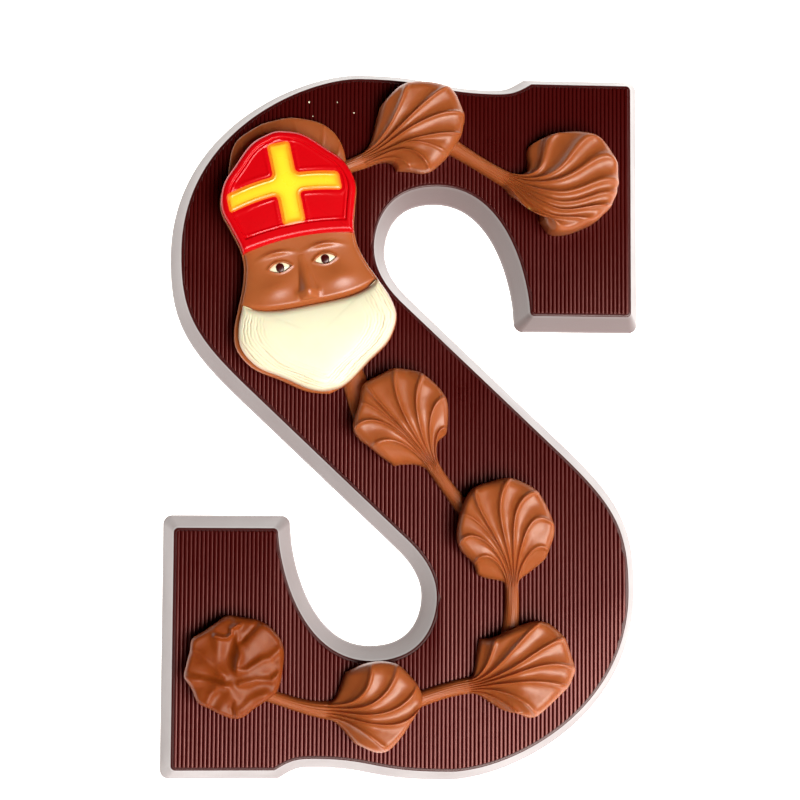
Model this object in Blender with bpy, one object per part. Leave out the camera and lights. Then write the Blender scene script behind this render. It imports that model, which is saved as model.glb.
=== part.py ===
"""A chocolate letter: a bold dark S lying on its back, a garland of piped milk-chocolate shells and a moulded
bishop's head.

Lengths are in millimetres and become metres when a mesh is made. X runs to the right of the letter, Y to its
top and Z up from the surface that it lies on. The origin is the middle of the letter on that surface.
"""

import math
import random

import bmesh
import bpy
import numpy as np

MM = 0.001
GAP = 0.3  # between pieces that touch
SHARP_ANGLE = math.radians(38)  # edges that turn more than this look sharp

# The cast letter
LETTER_THICKNESS = 11.0
WALL_DRAFT = 3.5  # how far the foot of the sloping wall stands out past the face
FACE_CORNER = 1.4
FOOT_CORNER = 2.6
CORNER_STEPS = 4
OUTLINE_STEP = 4.0
RIB_PITCH = 1.15
RIB_HEIGHT = 0.35
RIB_VALLEY = 0.05  # how far the valleys between the ribs lie above the face
RIB_MARGIN = 0.8  # smooth edge round the ribbed field
RIB_ROOT = 0.6  # how deep the ribbed field reaches into the slab
RIBS = 118
RIB_REACH = 102.0  # the ribs run this far up and down from the middle, past the letter's ends

# Half of the face's outline, once round from the arm to the foot. Each node is x, y, the heading at which the
# outline leaves it, and the pulls of the curve before and after it. A straight run has no pull.
HALF_OUTLINE = (
    (64.0, 30.0, 90, 0, 0),
    (64.0, 96.5, 180, 0, 0),
    (35.5, 96.5, 212, 0, 4.5),
    (25.5, 93.4, 180, 4.5, 18),
    (-13.0, 97.0, 180, 22, 15),
    (-63.0, 47.0, 270, 35, 18),
    (-42.0, 7.0, -43, 23, 0),
    (0.6, -33.0, -43, 0, 7),
    (9.0, -49.0, -90, 6, 6),
    (-9.0, -66.5, -180, 15, 20),
    (-35.2, -30.0, -268, 10, 0),
)
CORNERS = ((64.0, 30.0), (64.0, 96.5), (-35.2, -30.0))

# The piped shells: a ridged fan that narrows to its root, and a strand drawn from there to the next piece
DECOR_FLOOR = LETTER_THICKNESS + RIB_HEIGHT + GAP
CLEARANCE = 0.5  # a strand stops this far from the shell piped over its end
STRAND_ROWS = 6
STRAND_HALF_WIDTH = 1.5
STRAND_HEIGHT = 2.4
STRAND_PULL = 0.35  # how strongly a strand bends into its two ends, of its length
BED_HEIGHT = 2.2
BED_STRAND_HEIGHT = 1.9

# What every fan has in common. Places along it are parts of its length.
FAN_ROWS = (0.0, 0.12, 0.25, 0.39, 0.54, 0.68, 0.8, 0.9, 0.96, 1.0)
RIDGE_COLUMNS = (0.2, 0.5, 0.8)  # where a ridge is cut, its crest in the middle
RIDGE_UNEVENNESS = 0.22
RIDGE_ROOT_DEPTH = 0.15
RIDGE_RIM_DEPTH = 0.17  # of the shell's height
RIM_MIDDLE = 0.5  # the rim runs round this place
RIM_BACK = 0.46  # how far it reaches back from there
RIM_LOBES = 0.06  # how far the ridges' ends stand out of it
BEND_ALONG = 0.78  # where a ridge bends over
BEND_ASIDE = 0.12
DOME_RISE = 0.55  # a fan reaches its full height here
DOME_FALL = 0.6  # and falls off to its rim from here


def piped(root, heading, length, widths, turns, curls, ridges, height, strand_end, end_half, sweep=0.0,
          swirl=0.0, root_half=2.0, seed=0):
    """One shell. widths, turns and curls are pairs, left and right of its heading: how far it spreads, how far
    round its middle the rim runs, in degrees, and how much its ridges arch over. sweep and swirl bend all its
    ridges to the right and into an S. The strand runs from the root to strand_end and widens there."""
    return dict(locals())


SHELLS = {
    "shell_arm": piped((27.9, 70.1), -7, 32.0, (13.8, 15.0), (130, 138), (-0.25, 0.45), 8, 8.5,
                       (9.0, 80.0), 2.4, sweep=5.0, swirl=1.5, root_half=2.4, seed=1),
    "shell_crown": piped((-12.5, 75.8), 22, 31.0, (13.0, 12.3), (122, 138), (-0.1, 0.35), 9, 8.0,
                         (-24.0, 68.5), 1.9, root_half=2.2, seed=2),
    "shell_waist": piped((8.1, -11.7), 122, 30.0, (13.8, 12.6), (140, 125), (0.3, 0.3), 9, 8.0,
                         (20.0, -28.5), 2.8, seed=3),
    "shell_spine": piped((30.5, -45.4), 94, 30.2, (14.2, 12.6), (140, 135), (0.3, 0.3), 9, 8.5,
                         (29.0, -66.0), 3.2, seed=4),
    "shell_bowl": piped((17.9, -71.8), 8, 29.5, (13.2, 12.4), (128, 135), (-0.1, 0.3), 9, 8.5,
                        (-3.0, -79.5), 2.4, seed=5),
    "shell_base": piped((-20.9, -78.0), -3, 25.5, (12.2, 12.8), (130, 135), (0.2, 0.25), 8, 8.0,
                        (-42.0, -73.5), 2.4, sweep=1.0, swirl=0.8, seed=6),
    "bed": piped((-28.5, 54.5), 96, 30.3, (17.0, 13.5), (140, 140), (0.3, 0.3), 7, BED_HEIGHT,
                 (-10.5, 0.5), 4.2, seed=7),
}
# Each shell's strand ends under the piece piped over it
PIPED_OVER = {
    "shell_arm": "shell_crown",
    "shell_crown": "bed",
    "bed": "shell_waist",
    "shell_waist": "shell_spine",
    "shell_spine": "shell_bowl",
    "shell_bowl": "shell_base",
    "shell_base": "rosette",
}

# The flat rosette that ends the garland. Its ridges run from a pinched middle to uneven corners of the rim, each
# given as its bearing in degrees and its distance.
ROSETTE_CENTRE = (-47.0, -68.3)
ROSETTE_PINCH = (-2.5, -3.7)  # where the ridges meet, from the centre
ROSETTE_CORNERS = (
    (-174, 13.6), (-131, 12.8), (-85, 14.3), (-38, 12.0), (-5, 13.8), (31, 15.4), (67, 14.9), (97, 14.5),
    (150, 14.0),
)
ROSETTE_HEIGHT = 7.5
ROSETTE_RIDGE_DEPTH = 1.2
ROSETTE_RINGS = (1.0, 0.97, 0.9, 0.78, 0.62, 0.45, 0.28, 0.12)
FLUTE_STEPS = 4
FLUTE_DEPTH = 0.07  # how far the rim draws in between two corners, of its distance
NIB_PLACE = (-48.6, -57.2)
NIB_RADIUS = 2.4
NIB_SQUASH = (1.0, 0.7, 0.6)
NIB_HEIGHT = 6.2

# The moulded head, in its own frame: y from the beard's tip up to the mitre's tip
FIGURE_TIP = (-20.4, 7.3)
FIGURE_LEAN = math.radians(12.2)
FIGURE_SHIFT = -1.0
FIGURE_FLOOR = DECOR_FLOOR + BED_HEIGHT + GAP
FIGURE_HEIGHT = 74.5
# The figure's outline on one side, as half-width and height above the beard's tip
FIGURE_SIDE = (
    (0.0, 0.0), (5.0, 1.5), (12.5, 6.5), (20.0, 12.0), (22.8, 18.0), (22.2, 22.5), (19.8, 28.5), (17.3, 34.5),
    (16.0, 40.0), (16.1, 43.5), (17.6, 49.5), (19.2, 56.0), (17.2, 62.5), (13.0, 67.0), (7.0, 72.3), (0.0, 74.5),
)
BACKING = 2.2  # the thin milk-chocolate plate behind all of it
BACKING_CORNER = 0.5
BACKING_RIM = 0.8  # how much of the plate shows round the coloured pieces
BAND_SIDE = 42.3  # the mitre's lower edge at its sides and in the middle
BAND_MIDDLE = 44.0
BEARD_SIDE = 29.0  # the beard's upper edge
BEARD_MIDDLE = 25.0

# Sections of the coloured pieces, from their edge to their middle: part of the way out, height over the backing
MITRE_PROFILE = ((1.0, 2.6), (0.985, 3.6), (0.93, 4.0), (0.9, 3.4), (0.6, 3.9), (0.3, 4.2), (0.0, 4.4))
BEARD_PROFILE = ((1.0, 1.8), (0.97, 2.8), (0.87, 3.6), (0.7, 4.2), (0.45, 4.6), (0.2, 4.7), (0.0, 4.7))
FACE_PROFILE = ((1.0, 1.2), (0.95, 1.7), (0.86, 2.1), (0.76, 2.4), (0.66, 2.6), (0.55, 2.75), (0.44, 2.9),
                (0.33, 3.0), (0.22, 3.05), (0.11, 3.1), (0.0, 3.1))
MITRE_MIDDLE = (0.0, 58.0)
BEARD_PLACE = (0.0, 16.0)
FACE_PLACE = (0.0, 34.0)

# The cross on the mitre: an upright and a bar that droops to both sides, as on a rounded hat
CROSS_POST = 5.8
CROSS_TOP = 70.8
CROSS_FOOT = 47.6
CROSS_BAR = 4.8
CROSS_BAR_HEIGHT = 58.2
CROSS_SPAN = 31.8
CROSS_DROOP = 2.2
CROSS_SURFACE = 3.8  # height over the backing
POCKET_DEPTH = 2.7

# A plain face on the proportions that drawing books give: the head is five eyes wide with one eye between the
# eyes, and brow to nose is a third of the face
NOSE_BASE = BEARD_MIDDLE + 1.5
FACE_THIRD = 14.0
BROW_LINE = NOSE_BASE + FACE_THIRD
EYE_LINE = BROW_LINE - 0.28 * FACE_THIRD
EYES_ACROSS_HEAD = 5

COLOURS = {
    "dark": ((0.030, 0.008, 0.006), 0.32),
    "milk": ((0.320, 0.090, 0.028), 0.35),
    "red": ((0.700, 0.004, 0.008), 0.30),
    "yellow": ((0.920, 0.620, 0.010), 0.30),
    "cream": ((0.880, 0.800, 0.600), 0.40),
}


def clear_scene():
    for thing in list(bpy.data.objects):
        bpy.data.objects.remove(thing)


def collection(name, hidden=False):
    group = bpy.data.collections.new(name)
    group.hide_render = hidden
    bpy.context.scene.collection.children.link(group)
    return group


def chocolate(name):
    colour, roughness = COLOURS[name]
    material = bpy.data.materials.new(name + "_chocolate")
    material.use_nodes = True
    shader = material.node_tree.nodes["Principled BSDF"]
    shader.inputs["Base Color"].default_value = (*colour, 1)
    shader.inputs["Roughness"].default_value = roughness
    return material


def add_object(name, mesh, group, material):
    """A piece, or without a material a hidden cutter."""
    mesh.shade_smooth()
    mesh.set_sharp_from_angle(angle=SHARP_ANGLE)
    thing = bpy.data.objects.new(name, mesh)
    group.objects.link(thing)
    if material:
        mesh.materials.append(material)
    else:
        thing.hide_render = True
        thing.display_type = "WIRE"
    return thing


def add_mesh(name, points, faces, group, material=None):
    mesh = bpy.data.meshes.new(name)
    mesh.from_pydata([tuple(point) for point in np.asarray(points) * MM], [], faces)
    mesh.validate()
    return add_object(name, mesh, group, material)


def add_shape(name, shape, group, material=None):
    mesh = bpy.data.meshes.new(name)
    shape.to_mesh(mesh)
    shape.free()
    return add_object(name, mesh, group, material)


def boolean(thing, operation, other):
    modifier = thing.modifiers.new(operation.lower() + "_" + other.name, "BOOLEAN")
    modifier.operation = operation
    modifier.solver = "EXACT"
    modifier.object = other


def prism(name, outline, along, group, material=None):
    """A flat outline of points in space, drawn out along a vector."""
    shape = bmesh.new()
    face = shape.faces.new([shape.verts.new(tuple(point)) for point in np.asarray(outline) * MM])
    drawn = bmesh.ops.extrude_face_region(shape, geom=[face])["geom"]
    moved = [element for element in drawn if isinstance(element, bmesh.types.BMVert)]
    bmesh.ops.translate(shape, verts=moved, vec=tuple(np.array(along) * MM))
    bmesh.ops.recalc_face_normals(shape, faces=shape.faces)
    return add_shape(name, shape, group, material)


def with_height(outline, z):
    return np.column_stack([outline, np.full(len(outline), z)])


def ring_faces(rings, count):
    """Quads between rings of the same number of points, each ring above the one before."""
    faces = []
    for level in range(rings - 1):
        low = level * count
        high = low + count
        for i in range(count):
            j = (i + 1) % count
            faces.append([low + i, low + j, high + j, high + i])
    return faces


def lofted(name, rings, group, material=None):
    """A closed solid through level outlines, from the lowest up."""
    count = len(rings[0])
    last = (len(rings) - 1) * count
    faces = [list(range(count - 1, -1, -1))] + ring_faces(len(rings), count) + [list(range(last, last + count))]
    return add_mesh(name, np.vstack(rings), faces, group, material)


def domed(name, rings, middle, group, material=None):
    """A solid from rings that narrow to a middle point, flat underneath."""
    count = len(rings[0])
    last = (len(rings) - 1) * count
    faces = [list(range(count - 1, -1, -1))] + ring_faces(len(rings), count)
    faces += [[last + i, last + (i + 1) % count, last + count] for i in range(count)]
    return add_mesh(name, np.vstack([*rings, middle]), faces, group, material)


def direction(degrees):
    return np.array([math.cos(math.radians(degrees)), math.sin(math.radians(degrees))])


def cubic(start, leave, arrive, end, t):
    t = np.asarray(t)[:, None]
    return (1 - t) ** 3 * start + 3 * (1 - t) ** 2 * t * leave + 3 * (1 - t) * t**2 * arrive + t**3 * end


def face_outline():
    """The sharp-cornered outline of the face, counterclockwise: half of it, and that half turned half round."""
    half = []
    nodes = list(HALF_OUTLINE) + [(-HALF_OUTLINE[0][0], -HALF_OUTLINE[0][1], 0, 0, 0)]
    for (x, y, leave, _, after), (x2, y2, arrive, before, _) in zip(nodes, nodes[1:]):
        start = np.array([x, y])
        end = np.array([x2, y2])
        steps = max(2, round(np.linalg.norm(end - start) / OUTLINE_STEP)) if after or before else 1
        t = np.arange(steps) / steps
        half.append(cubic(start, start + after * direction(leave), end - before * direction(arrive), end, t))
    half = np.vstack(half)
    return np.vstack([half, -half])


def offset(outline, distance):
    """The outline moved outwards by distance, its corners mitred."""
    along = np.roll(outline, -1, axis=0) - outline
    along /= np.linalg.norm(along, axis=1)[:, None]
    out = np.column_stack([along[:, 1], -along[:, 0]])
    before = np.roll(out, 1, axis=0)
    return outline + distance * (out + before) / (1 + (out * before).sum(axis=1))[:, None]


def round_corners(outline, corners, radius):
    """The outline with an arc of this radius in place of each listed corner."""
    rounded = []
    for i, corner in enumerate(outline):
        if i not in corners:
            rounded.append(corner)
            continue
        back = outline[i - 1] - corner
        ahead = outline[(i + 1) % len(outline)] - corner
        back /= np.linalg.norm(back)
        ahead /= np.linalg.norm(ahead)
        half_angle = math.acos(np.clip(back @ ahead, -1, 1)) / 2
        reach = radius / math.tan(half_angle)
        middle = corner + (back + ahead) / np.linalg.norm(back + ahead) * radius / math.sin(half_angle)
        first = corner + back * reach - middle
        last = corner + ahead * reach - middle
        turn = math.atan2(first[0] * last[1] - first[1] * last[0], first @ last)
        for step in range(CORNER_STEPS + 1):
            cos = math.cos(turn * step / CORNER_STEPS)
            sin = math.sin(turn * step / CORNER_STEPS)
            rounded.append(middle + (first[0] * cos - first[1] * sin, first[0] * sin + first[1] * cos))
    return np.array(rounded)


def letter_outline(distance, radius):
    sharp = face_outline()
    corners = {
        int(np.argmin(np.linalg.norm(sharp - place, axis=1)))
        for corner in CORNERS
        for place in (np.array(corner), -np.array(corner))
    }
    return round_corners(offset(sharp, distance), corners, radius)


def make_letter():
    foot = letter_outline(WALL_DRAFT, FOOT_CORNER)
    face = letter_outline(0, FACE_CORNER)
    rings = [with_height(foot, 0), with_height(face, LETTER_THICKNESS)]
    letter = lofted("letter", rings, parts, materials["dark"])

    inner = letter_outline(-RIB_MARGIN, FACE_CORNER / 2)
    low = LETTER_THICKNESS - RIB_ROOT
    field_height = RIB_ROOT + 2 * RIB_HEIGHT
    field = prism("ribbed_field", with_height(inner, low), (0, 0, field_height), cutters)

    side = RIBS / 2 * RIB_PITCH
    profile = [(side, low - 1), (side, LETTER_THICKNESS + RIB_VALLEY)]
    for rib in reversed(range(RIBS)):
        left = rib * RIB_PITCH - side
        profile.append((left + RIB_PITCH / 2, LETTER_THICKNESS + RIB_HEIGHT))
        profile.append((left, LETTER_THICKNESS + RIB_VALLEY))
    profile.append((-side, low - 1))
    comb = prism("ribs", [(x, -RIB_REACH, z) for x, z in profile], (0, 2 * RIB_REACH, 0), cutters)
    boolean(comb, "INTERSECT", field)
    boolean(letter, "UNION", comb)


def ridge_edges(ridges, seed):
    """Where the flutes between a shell's ridges lie, from -1 at its left side to 1 at its right, unevenly."""
    draw = random.Random(seed)
    widths = [1 + RIDGE_UNEVENNESS * draw.uniform(-1, 1) for _ in range(ridges)]
    edges = np.concatenate([[0], np.cumsum(widths)])
    return edges / edges[-1] * 2 - 1


def fan_plan(shell, u, v, grow):
    """Plan of a fan in its own frame, its root at 0, 0 and y along its heading, and how near a crest each
    column is. u runs across the ridges, v along them."""
    length = shell["length"]
    width = np.where(u < 0, *shell["widths"]) + grow
    turn = u * np.radians(np.where(u < 0, *shell["turns"]))
    curl = np.where(u < 0, *shell["curls"])
    phase = np.interp(u, ridge_edges(shell["ridges"], shell["seed"]), np.arange(shell["ridges"] + 1))
    crest = 1 - np.abs(np.cos(np.pi * phase))

    lobe = 1 + RIM_LOBES * (crest - 0.4)
    reach = np.where(np.cos(turn) > 0, 1 - RIM_MIDDLE, RIM_BACK) * length + grow
    rim = np.column_stack([width * np.sin(turn) * lobe, RIM_MIDDLE * length + reach * np.cos(turn) * lobe])
    root = np.column_stack([(shell["root_half"] + grow) * u, np.zeros_like(u)])
    bend = np.column_stack([
        0.7 * root[:, 0] + BEND_ASIDE * rim[:, 0] + shell["sweep"],
        BEND_ALONG * np.maximum(rim[:, 1], 0.2 * length) + curl * np.abs(rim[:, 0]),
    ])
    inner = 1 - np.abs(u) ** 6  # the outermost ridges run straight
    straight = (root + rim) / 2
    bend = straight + (bend - straight) * inner[:, None]

    plan = np.array([(1 - t) ** 2 * root + 2 * (1 - t) * t * bend + t**2 * rim for t in v])
    plan[..., 0] += shell["swirl"] * np.sin(2 * np.pi * v)[:, None] * inner
    return plan, crest


def fan_height(shell, plan, crest, u, v, strand_height):
    """Height of a fan: a dome that rises from the strand, ridged, and rounded down to nothing at its rim."""
    length = shell["length"]
    rise = np.clip(plan[..., 1] / (DOME_RISE * length), 0, 1)
    rise = rise * rise * (3 - 2 * rise)
    across = plan[..., 0] / np.where(plan[..., 0] < 0, *shell["widths"])
    beyond = np.clip((plan[..., 1] / length - DOME_FALL) / (1 - DOME_FALL), 0, 1)
    dome = strand_height + (shell["height"] - strand_height) * rise
    dome *= (1 - 0.25 * across**2 * rise) * (1 - 0.3 * beyond**2)
    depth = RIDGE_ROOT_DEPTH + RIDGE_RIM_DEPTH * shell["height"] * v
    squareness = 2 + 8 * np.clip(v / 0.4, 0, 1)  # the section turns from round at the root to full
    side = np.sqrt(np.maximum(1 - np.abs(u) ** squareness[:, None], 0))
    end = np.sqrt(1 - v**8)
    return (dome + depth[:, None] * (crest - 0.6)) * side * end[:, None]


def strand_path(shell):
    """Middle line and sideways direction of a shell's strand, from its end to the root."""
    root = np.array(shell["root"])
    end = np.array(shell["strand_end"])
    pull = STRAND_PULL * np.linalg.norm(end - root)
    arrive = root - direction(shell["heading"]) * pull
    route = (end, end + (root - end) * STRAND_PULL, arrive, root)
    s = np.arange(STRAND_ROWS) / STRAND_ROWS
    path = cubic(*route, s)
    slope = cubic(*route, s + 0.01) - path
    slope /= np.linalg.norm(slope, axis=1)[:, None]
    return s, path, np.column_stack([slope[:, 1], -slope[:, 0]])


def shell_grid(name, grow=0.0):
    """Plan and height of a shell's upper side, rows from the strand's end to the rim, columns across. With grow
    it stands that much larger all round."""
    shell = SHELLS[name]
    strand_height = BED_STRAND_HEIGHT if name == "bed" else STRAND_HEIGHT
    edges = ridge_edges(shell["ridges"], shell["seed"])
    u = np.array([-1.0] + [a + (b - a) * cut for a, b in zip(edges, edges[1:]) for cut in RIDGE_COLUMNS] + [1.0])
    v = np.array(FAN_ROWS)
    forward = direction(shell["heading"])
    right = np.array([forward[1], -forward[0]])

    plan, crest = fan_plan(shell, u, v, grow)
    fan_z = fan_height(shell, plan, crest, u, v, strand_height)
    fan_z += grow * (fan_z > 0)
    fan = np.array(shell["root"]) + plan[..., :1] * right + plan[..., 1:] * forward

    s, path, sideways = strand_path(shell)
    half = STRAND_HALF_WIDTH + (shell["root_half"] - STRAND_HALF_WIDTH) * s**3
    half += (shell["end_half"] - STRAND_HALF_WIDTH) * (1 - s) ** 3 + grow
    strand = path[:, None, :] + (half[:, None] * u)[..., None] * sideways[:, None, :]
    strand_z = (strand_height + grow) * np.sqrt(np.maximum(1 - u**2, 0)) * (0.97 + 0.06 * crest)
    return np.vstack([strand, fan]), np.vstack([np.tile(strand_z, (STRAND_ROWS, 1)), fan_z])


def closed_grid(name, plan, z, group, material=None):
    """A solid from a grid whose two sides and last row lie level, its underside flat."""
    rows, columns = z.shape
    points = np.concatenate([plan, (z + DECOR_FLOOR)[..., None]], axis=2).reshape(-1, 3)
    index = np.arange(rows * columns).reshape(rows, columns)
    faces = [
        [int(i) for i in (index[row, column], index[row, column + 1], index[row + 1, column + 1],
                          index[row + 1, column])]
        for row in range(rows - 1)
        for column in range(columns - 1)
    ]
    faces.append(index[0, ::-1].tolist())
    border = np.concatenate([index[:, -1], index[-1, -2:0:-1], index[::-1, 0]])
    faces.append(border[::-1].tolist())
    return add_mesh(name, points, faces, group, material)


def make_shells():
    return {name: closed_grid(name, *shell_grid(name), parts, materials["milk"]) for name in SHELLS}


def rosette_rings(grow=0.0):
    """The rosette's rings from its rim inwards, each a ring of points. A crest runs to each corner of the rim."""
    corners = list(ROSETTE_CORNERS) + [(ROSETTE_CORNERS[0][0] + 360, ROSETTE_CORNERS[0][1])]
    bearing, reach, crest = [], [], []
    for (start, start_reach), (end, end_reach) in zip(corners, corners[1:]):
        for step in range(FLUTE_STEPS):
            part = step / FLUTE_STEPS
            dip = math.sin(math.pi * part)
            bearing.append(math.radians(start + (end - start) * part))
            reach.append((start_reach + (end_reach - start_reach) * part) * (1 - FLUTE_DEPTH * dip) + grow)
            crest.append(1 - dip)
    bearing, reach, crest = np.array(bearing), np.array(reach), np.array(crest)
    spoke = np.column_stack([np.cos(bearing), np.sin(bearing)]) * reach[:, None]

    rings = []
    for part in ROSETTE_RINGS:
        place = np.array(ROSETTE_CENTRE) + np.array(ROSETTE_PINCH) * (1 - part) + spoke * part
        dome = (ROSETTE_HEIGHT + grow) * math.sqrt(1 - part**7) * (1 - 0.3 * part**2)
        ridge = ROSETTE_RIDGE_DEPTH * part * (crest - 0.6) * (1 - part**12)
        pinched = 1.1 * (1 - part) ** 3
        z = dome + ridge - pinched
        rings.append(np.column_stack([place, z + DECOR_FLOOR]))
    middle = (*(np.array(ROSETTE_CENTRE) + ROSETTE_PINCH), ROSETTE_HEIGHT + grow - 1.3 + DECOR_FLOOR)
    return rings, middle


def make_rosette():
    rosette = domed("rosette", *rosette_rings(), parts, materials["milk"])
    ball = bmesh.new()
    bmesh.ops.create_uvsphere(ball, u_segments=10, v_segments=6, radius=NIB_RADIUS * MM)
    bmesh.ops.scale(ball, verts=ball.verts, vec=NIB_SQUASH)
    place = np.array([*NIB_PLACE, DECOR_FLOOR + NIB_HEIGHT]) * MM
    bmesh.ops.translate(ball, verts=ball.verts, vec=tuple(place))
    boolean(rosette, "UNION", add_shape("nib", ball, cutters))


def trim_strands(shells):
    """Stops each strand short of the piece that is piped over its end."""
    for name, over in PIPED_OVER.items():
        if over == "rosette":
            rings, middle = rosette_rings(CLEARANCE)
            rings[0][:, 2] = DECOR_FLOOR - 1
            cutter = domed("over_" + name, rings, middle, cutters)
        else:
            plan, z = shell_grid(over, CLEARANCE)
            plan, z = plan[STRAND_ROWS:], z[STRAND_ROWS:]
            z[:, 0] = z[:, -1] = z[-1] = -1
            cutter = closed_grid("over_" + name, plan, z, cutters)
        boolean(shells[name], "DIFFERENCE", cutter)


def smooth_through(knots, values, at):
    """Values at other places, on a smooth curve through the given ones."""
    slope = np.gradient(values, knots)
    i = np.clip(np.searchsorted(knots, at) - 1, 0, len(knots) - 2)
    span = knots[i + 1] - knots[i]
    t = (at - knots[i]) / span
    return (
        (2 * t**3 - 3 * t**2 + 1) * values[i] + (t**3 - 2 * t**2 + t) * span * slope[i]
        + (3 * t**2 - 2 * t**3) * values[i + 1] + (t**3 - t**2) * span * slope[i + 1]
    )


def figure_half_width(y):
    places = np.array(FIGURE_SIDE)
    run = np.concatenate([[0], np.cumsum(np.linalg.norm(np.diff(places, axis=0), axis=1))])
    fine = np.linspace(0, run[-1], 400)
    width = smooth_through(run, places[:, 0], fine)
    height = smooth_through(run, places[:, 1], fine)
    return np.interp(y, height, width)


def band_edge(x):
    """The mitre's lower edge, bowed up in the middle."""
    return BAND_MIDDLE - (BAND_MIDDLE - BAND_SIDE) * (x / 16) ** 2


def beard_edge(x):
    """The beard's upper edge, raised at the sides."""
    return BEARD_MIDDLE + (BEARD_SIDE - BEARD_MIDDLE) * (x / 20) ** 4


def above_beard(x):
    return beard_edge(x) + GAP


def below_band(x):
    return band_edge(x) - GAP


def figure_outline(low, high, inset, low_edge=None, high_edge=None, side_steps=14, edge_steps=12):
    """The figure's outline between two heights, counterclockwise. An end without an edge curve is a point."""
    y = low + (high - low) * (1 - np.cos(np.pi * np.arange(side_steps + 1) / side_steps)) / 2
    x = np.maximum(figure_half_width(y) - inset, 0)
    if not low_edge:
        x[0] = 0
    across = np.cos(np.pi * np.arange(1, edge_steps) / edge_steps)
    right = np.column_stack([x, y])
    pieces = [right]
    if high_edge:
        pieces.append(np.column_stack([x[-1] * across, high_edge(x[-1] * across)]))
    else:
        pieces = [right[:-1], np.array([[0.0, high]])]
        right = right[:-1]
    left = right[::-1] * (-1, 1)
    pieces.append(left if low_edge else left[:-1])
    if low_edge:
        pieces.append(np.column_stack([-x[0] * across, low_edge(-x[0] * across)]))
    return np.vstack(pieces)


def on_letter(points):
    """Moves points of the figure's frame, each with its height over the backing, to their place."""
    cos = math.cos(FIGURE_LEAN)
    sin = math.sin(FIGURE_LEAN)
    x, y, z = np.asarray(points).T
    x = x + FIGURE_SHIFT
    return np.column_stack([
        FIGURE_TIP[0] + x * cos - y * sin,
        FIGURE_TIP[1] + x * sin + y * cos,
        FIGURE_FLOOR + BACKING + z,
    ])


def pillow(name, outline, middle, foot, profile, group, material=None, relief=None):
    """A crowned solid on an outline: a wall from its foot, then rings that follow the profile to the middle."""
    middle = np.array(middle)
    rings = [with_height(outline, foot)]
    for part, z in profile:
        flat = middle + (outline - middle) * part
        raised = relief(flat[:, 0], flat[:, 1]) if relief and part < 1 else 0
        rings.append(np.column_stack([flat, np.full(len(flat), z) + raised]))
    top = rings.pop()[:1]
    return domed(name, [on_letter(ring) for ring in rings], on_letter(top), group, material)


def bump(x, y, at_x, at_y, half_x, half_y, height):
    return height * np.exp(-(((x - at_x) / half_x) ** 2) - ((y - at_y) / half_y) ** 2)


def face_relief(x, y):
    """Nose, brows, eyes and cheeks."""
    eye = 2 * (figure_half_width(EYE_LINE) - BACKING_RIM) / EYES_ACROSS_HEAD
    height = bump(x, y, 0, EYE_LINE - 4.0, 1.9, 6.0, 1.6) + bump(x, y, 0, NOSE_BASE + 2.0, 2.6, 1.9, 1.5)
    for side in (-eye, eye):
        height = height + bump(x, y, side, EYE_LINE, 0.5 * eye, 0.3 * eye, 0.8)
        height = height + bump(x, y, side, BROW_LINE, 0.7 * eye, 1.1, 0.7)
        height = height + bump(x, y, 1.5 * side, NOSE_BASE + 4.5, 0.6 * eye, 3.0, 0.8)
    return height


def cross_outline(grow):
    """The cross, counterclockwise, and larger all round by grow."""
    post = CROSS_POST / 2 + grow
    x = np.linspace(post, CROSS_SPAN / 2 + grow, 4)
    bar = CROSS_BAR_HEIGHT - CROSS_DROOP * (2 * x / CROSS_SPAN) ** 2
    half = CROSS_BAR / 2 + grow
    arm = np.vstack([np.column_stack([x, bar - half]), np.column_stack([x, bar + half])[::-1]])
    top = np.array([(post, CROSS_TOP + grow), (-post, CROSS_TOP + grow)])
    foot = np.array([(-post, CROSS_FOOT - grow), (post, CROSS_FOOT - grow)])
    return np.vstack([arm, top, arm[::-1] * (-1, 1), foot])


def make_backing_and_face():
    whole = figure_outline(0.0, FIGURE_HEIGHT, 0.0, side_steps=26)
    rings = (
        with_height(whole, -BACKING),
        with_height(whole, -BACKING_CORNER),
        with_height(offset(whole, -BACKING_CORNER), 0),
    )
    figure = lofted("figure", [on_letter(ring) for ring in rings], parts, materials["milk"])
    outline = figure_outline(BEARD_SIDE + GAP, BAND_SIDE - GAP, BACKING_RIM, above_beard, below_band, 6, 14)
    face = pillow("face", outline, FACE_PLACE, -BACKING / 2, FACE_PROFILE, cutters, relief=face_relief)
    boolean(figure, "UNION", face)


def make_mitre():
    outline = figure_outline(BAND_SIDE, FIGURE_HEIGHT - BACKING_RIM, BACKING_RIM, low_edge=band_edge)
    mitre = pillow("mitre", outline, MITRE_MIDDLE, GAP, MITRE_PROFILE, parts, materials["red"])
    floor = MITRE_PROFILE[-1][1] - POCKET_DEPTH
    pocket = prism(
        "cross_pocket", on_letter(with_height(cross_outline(GAP), floor)), (0, 0, 2 * POCKET_DEPTH), cutters
    )
    boolean(mitre, "DIFFERENCE", pocket)
    seat = floor + GAP
    outline = on_letter(with_height(cross_outline(0), seat))
    prism("mitre_cross", outline, (0, 0, CROSS_SURFACE - seat), parts, materials["yellow"])


def make_beard():
    outline = figure_outline(BACKING_RIM, BEARD_SIDE, BACKING_RIM, high_edge=beard_edge, edge_steps=14)
    pillow("beard", outline, BEARD_PLACE, GAP, BEARD_PROFILE, parts, materials["cream"])


clear_scene()
parts = collection("chocolate_letter")
cutters = collection("cutters", hidden=True)
materials = {name: chocolate(name) for name in COLOURS}
make_letter()
trim_strands(make_shells())
make_rosette()
make_backing_and_face()
make_mitre()
make_beard()
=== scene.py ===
import math
import random
from functools import partialmethod

import bpy
import numpy as np
from mathutils import Matrix, Vector


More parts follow.
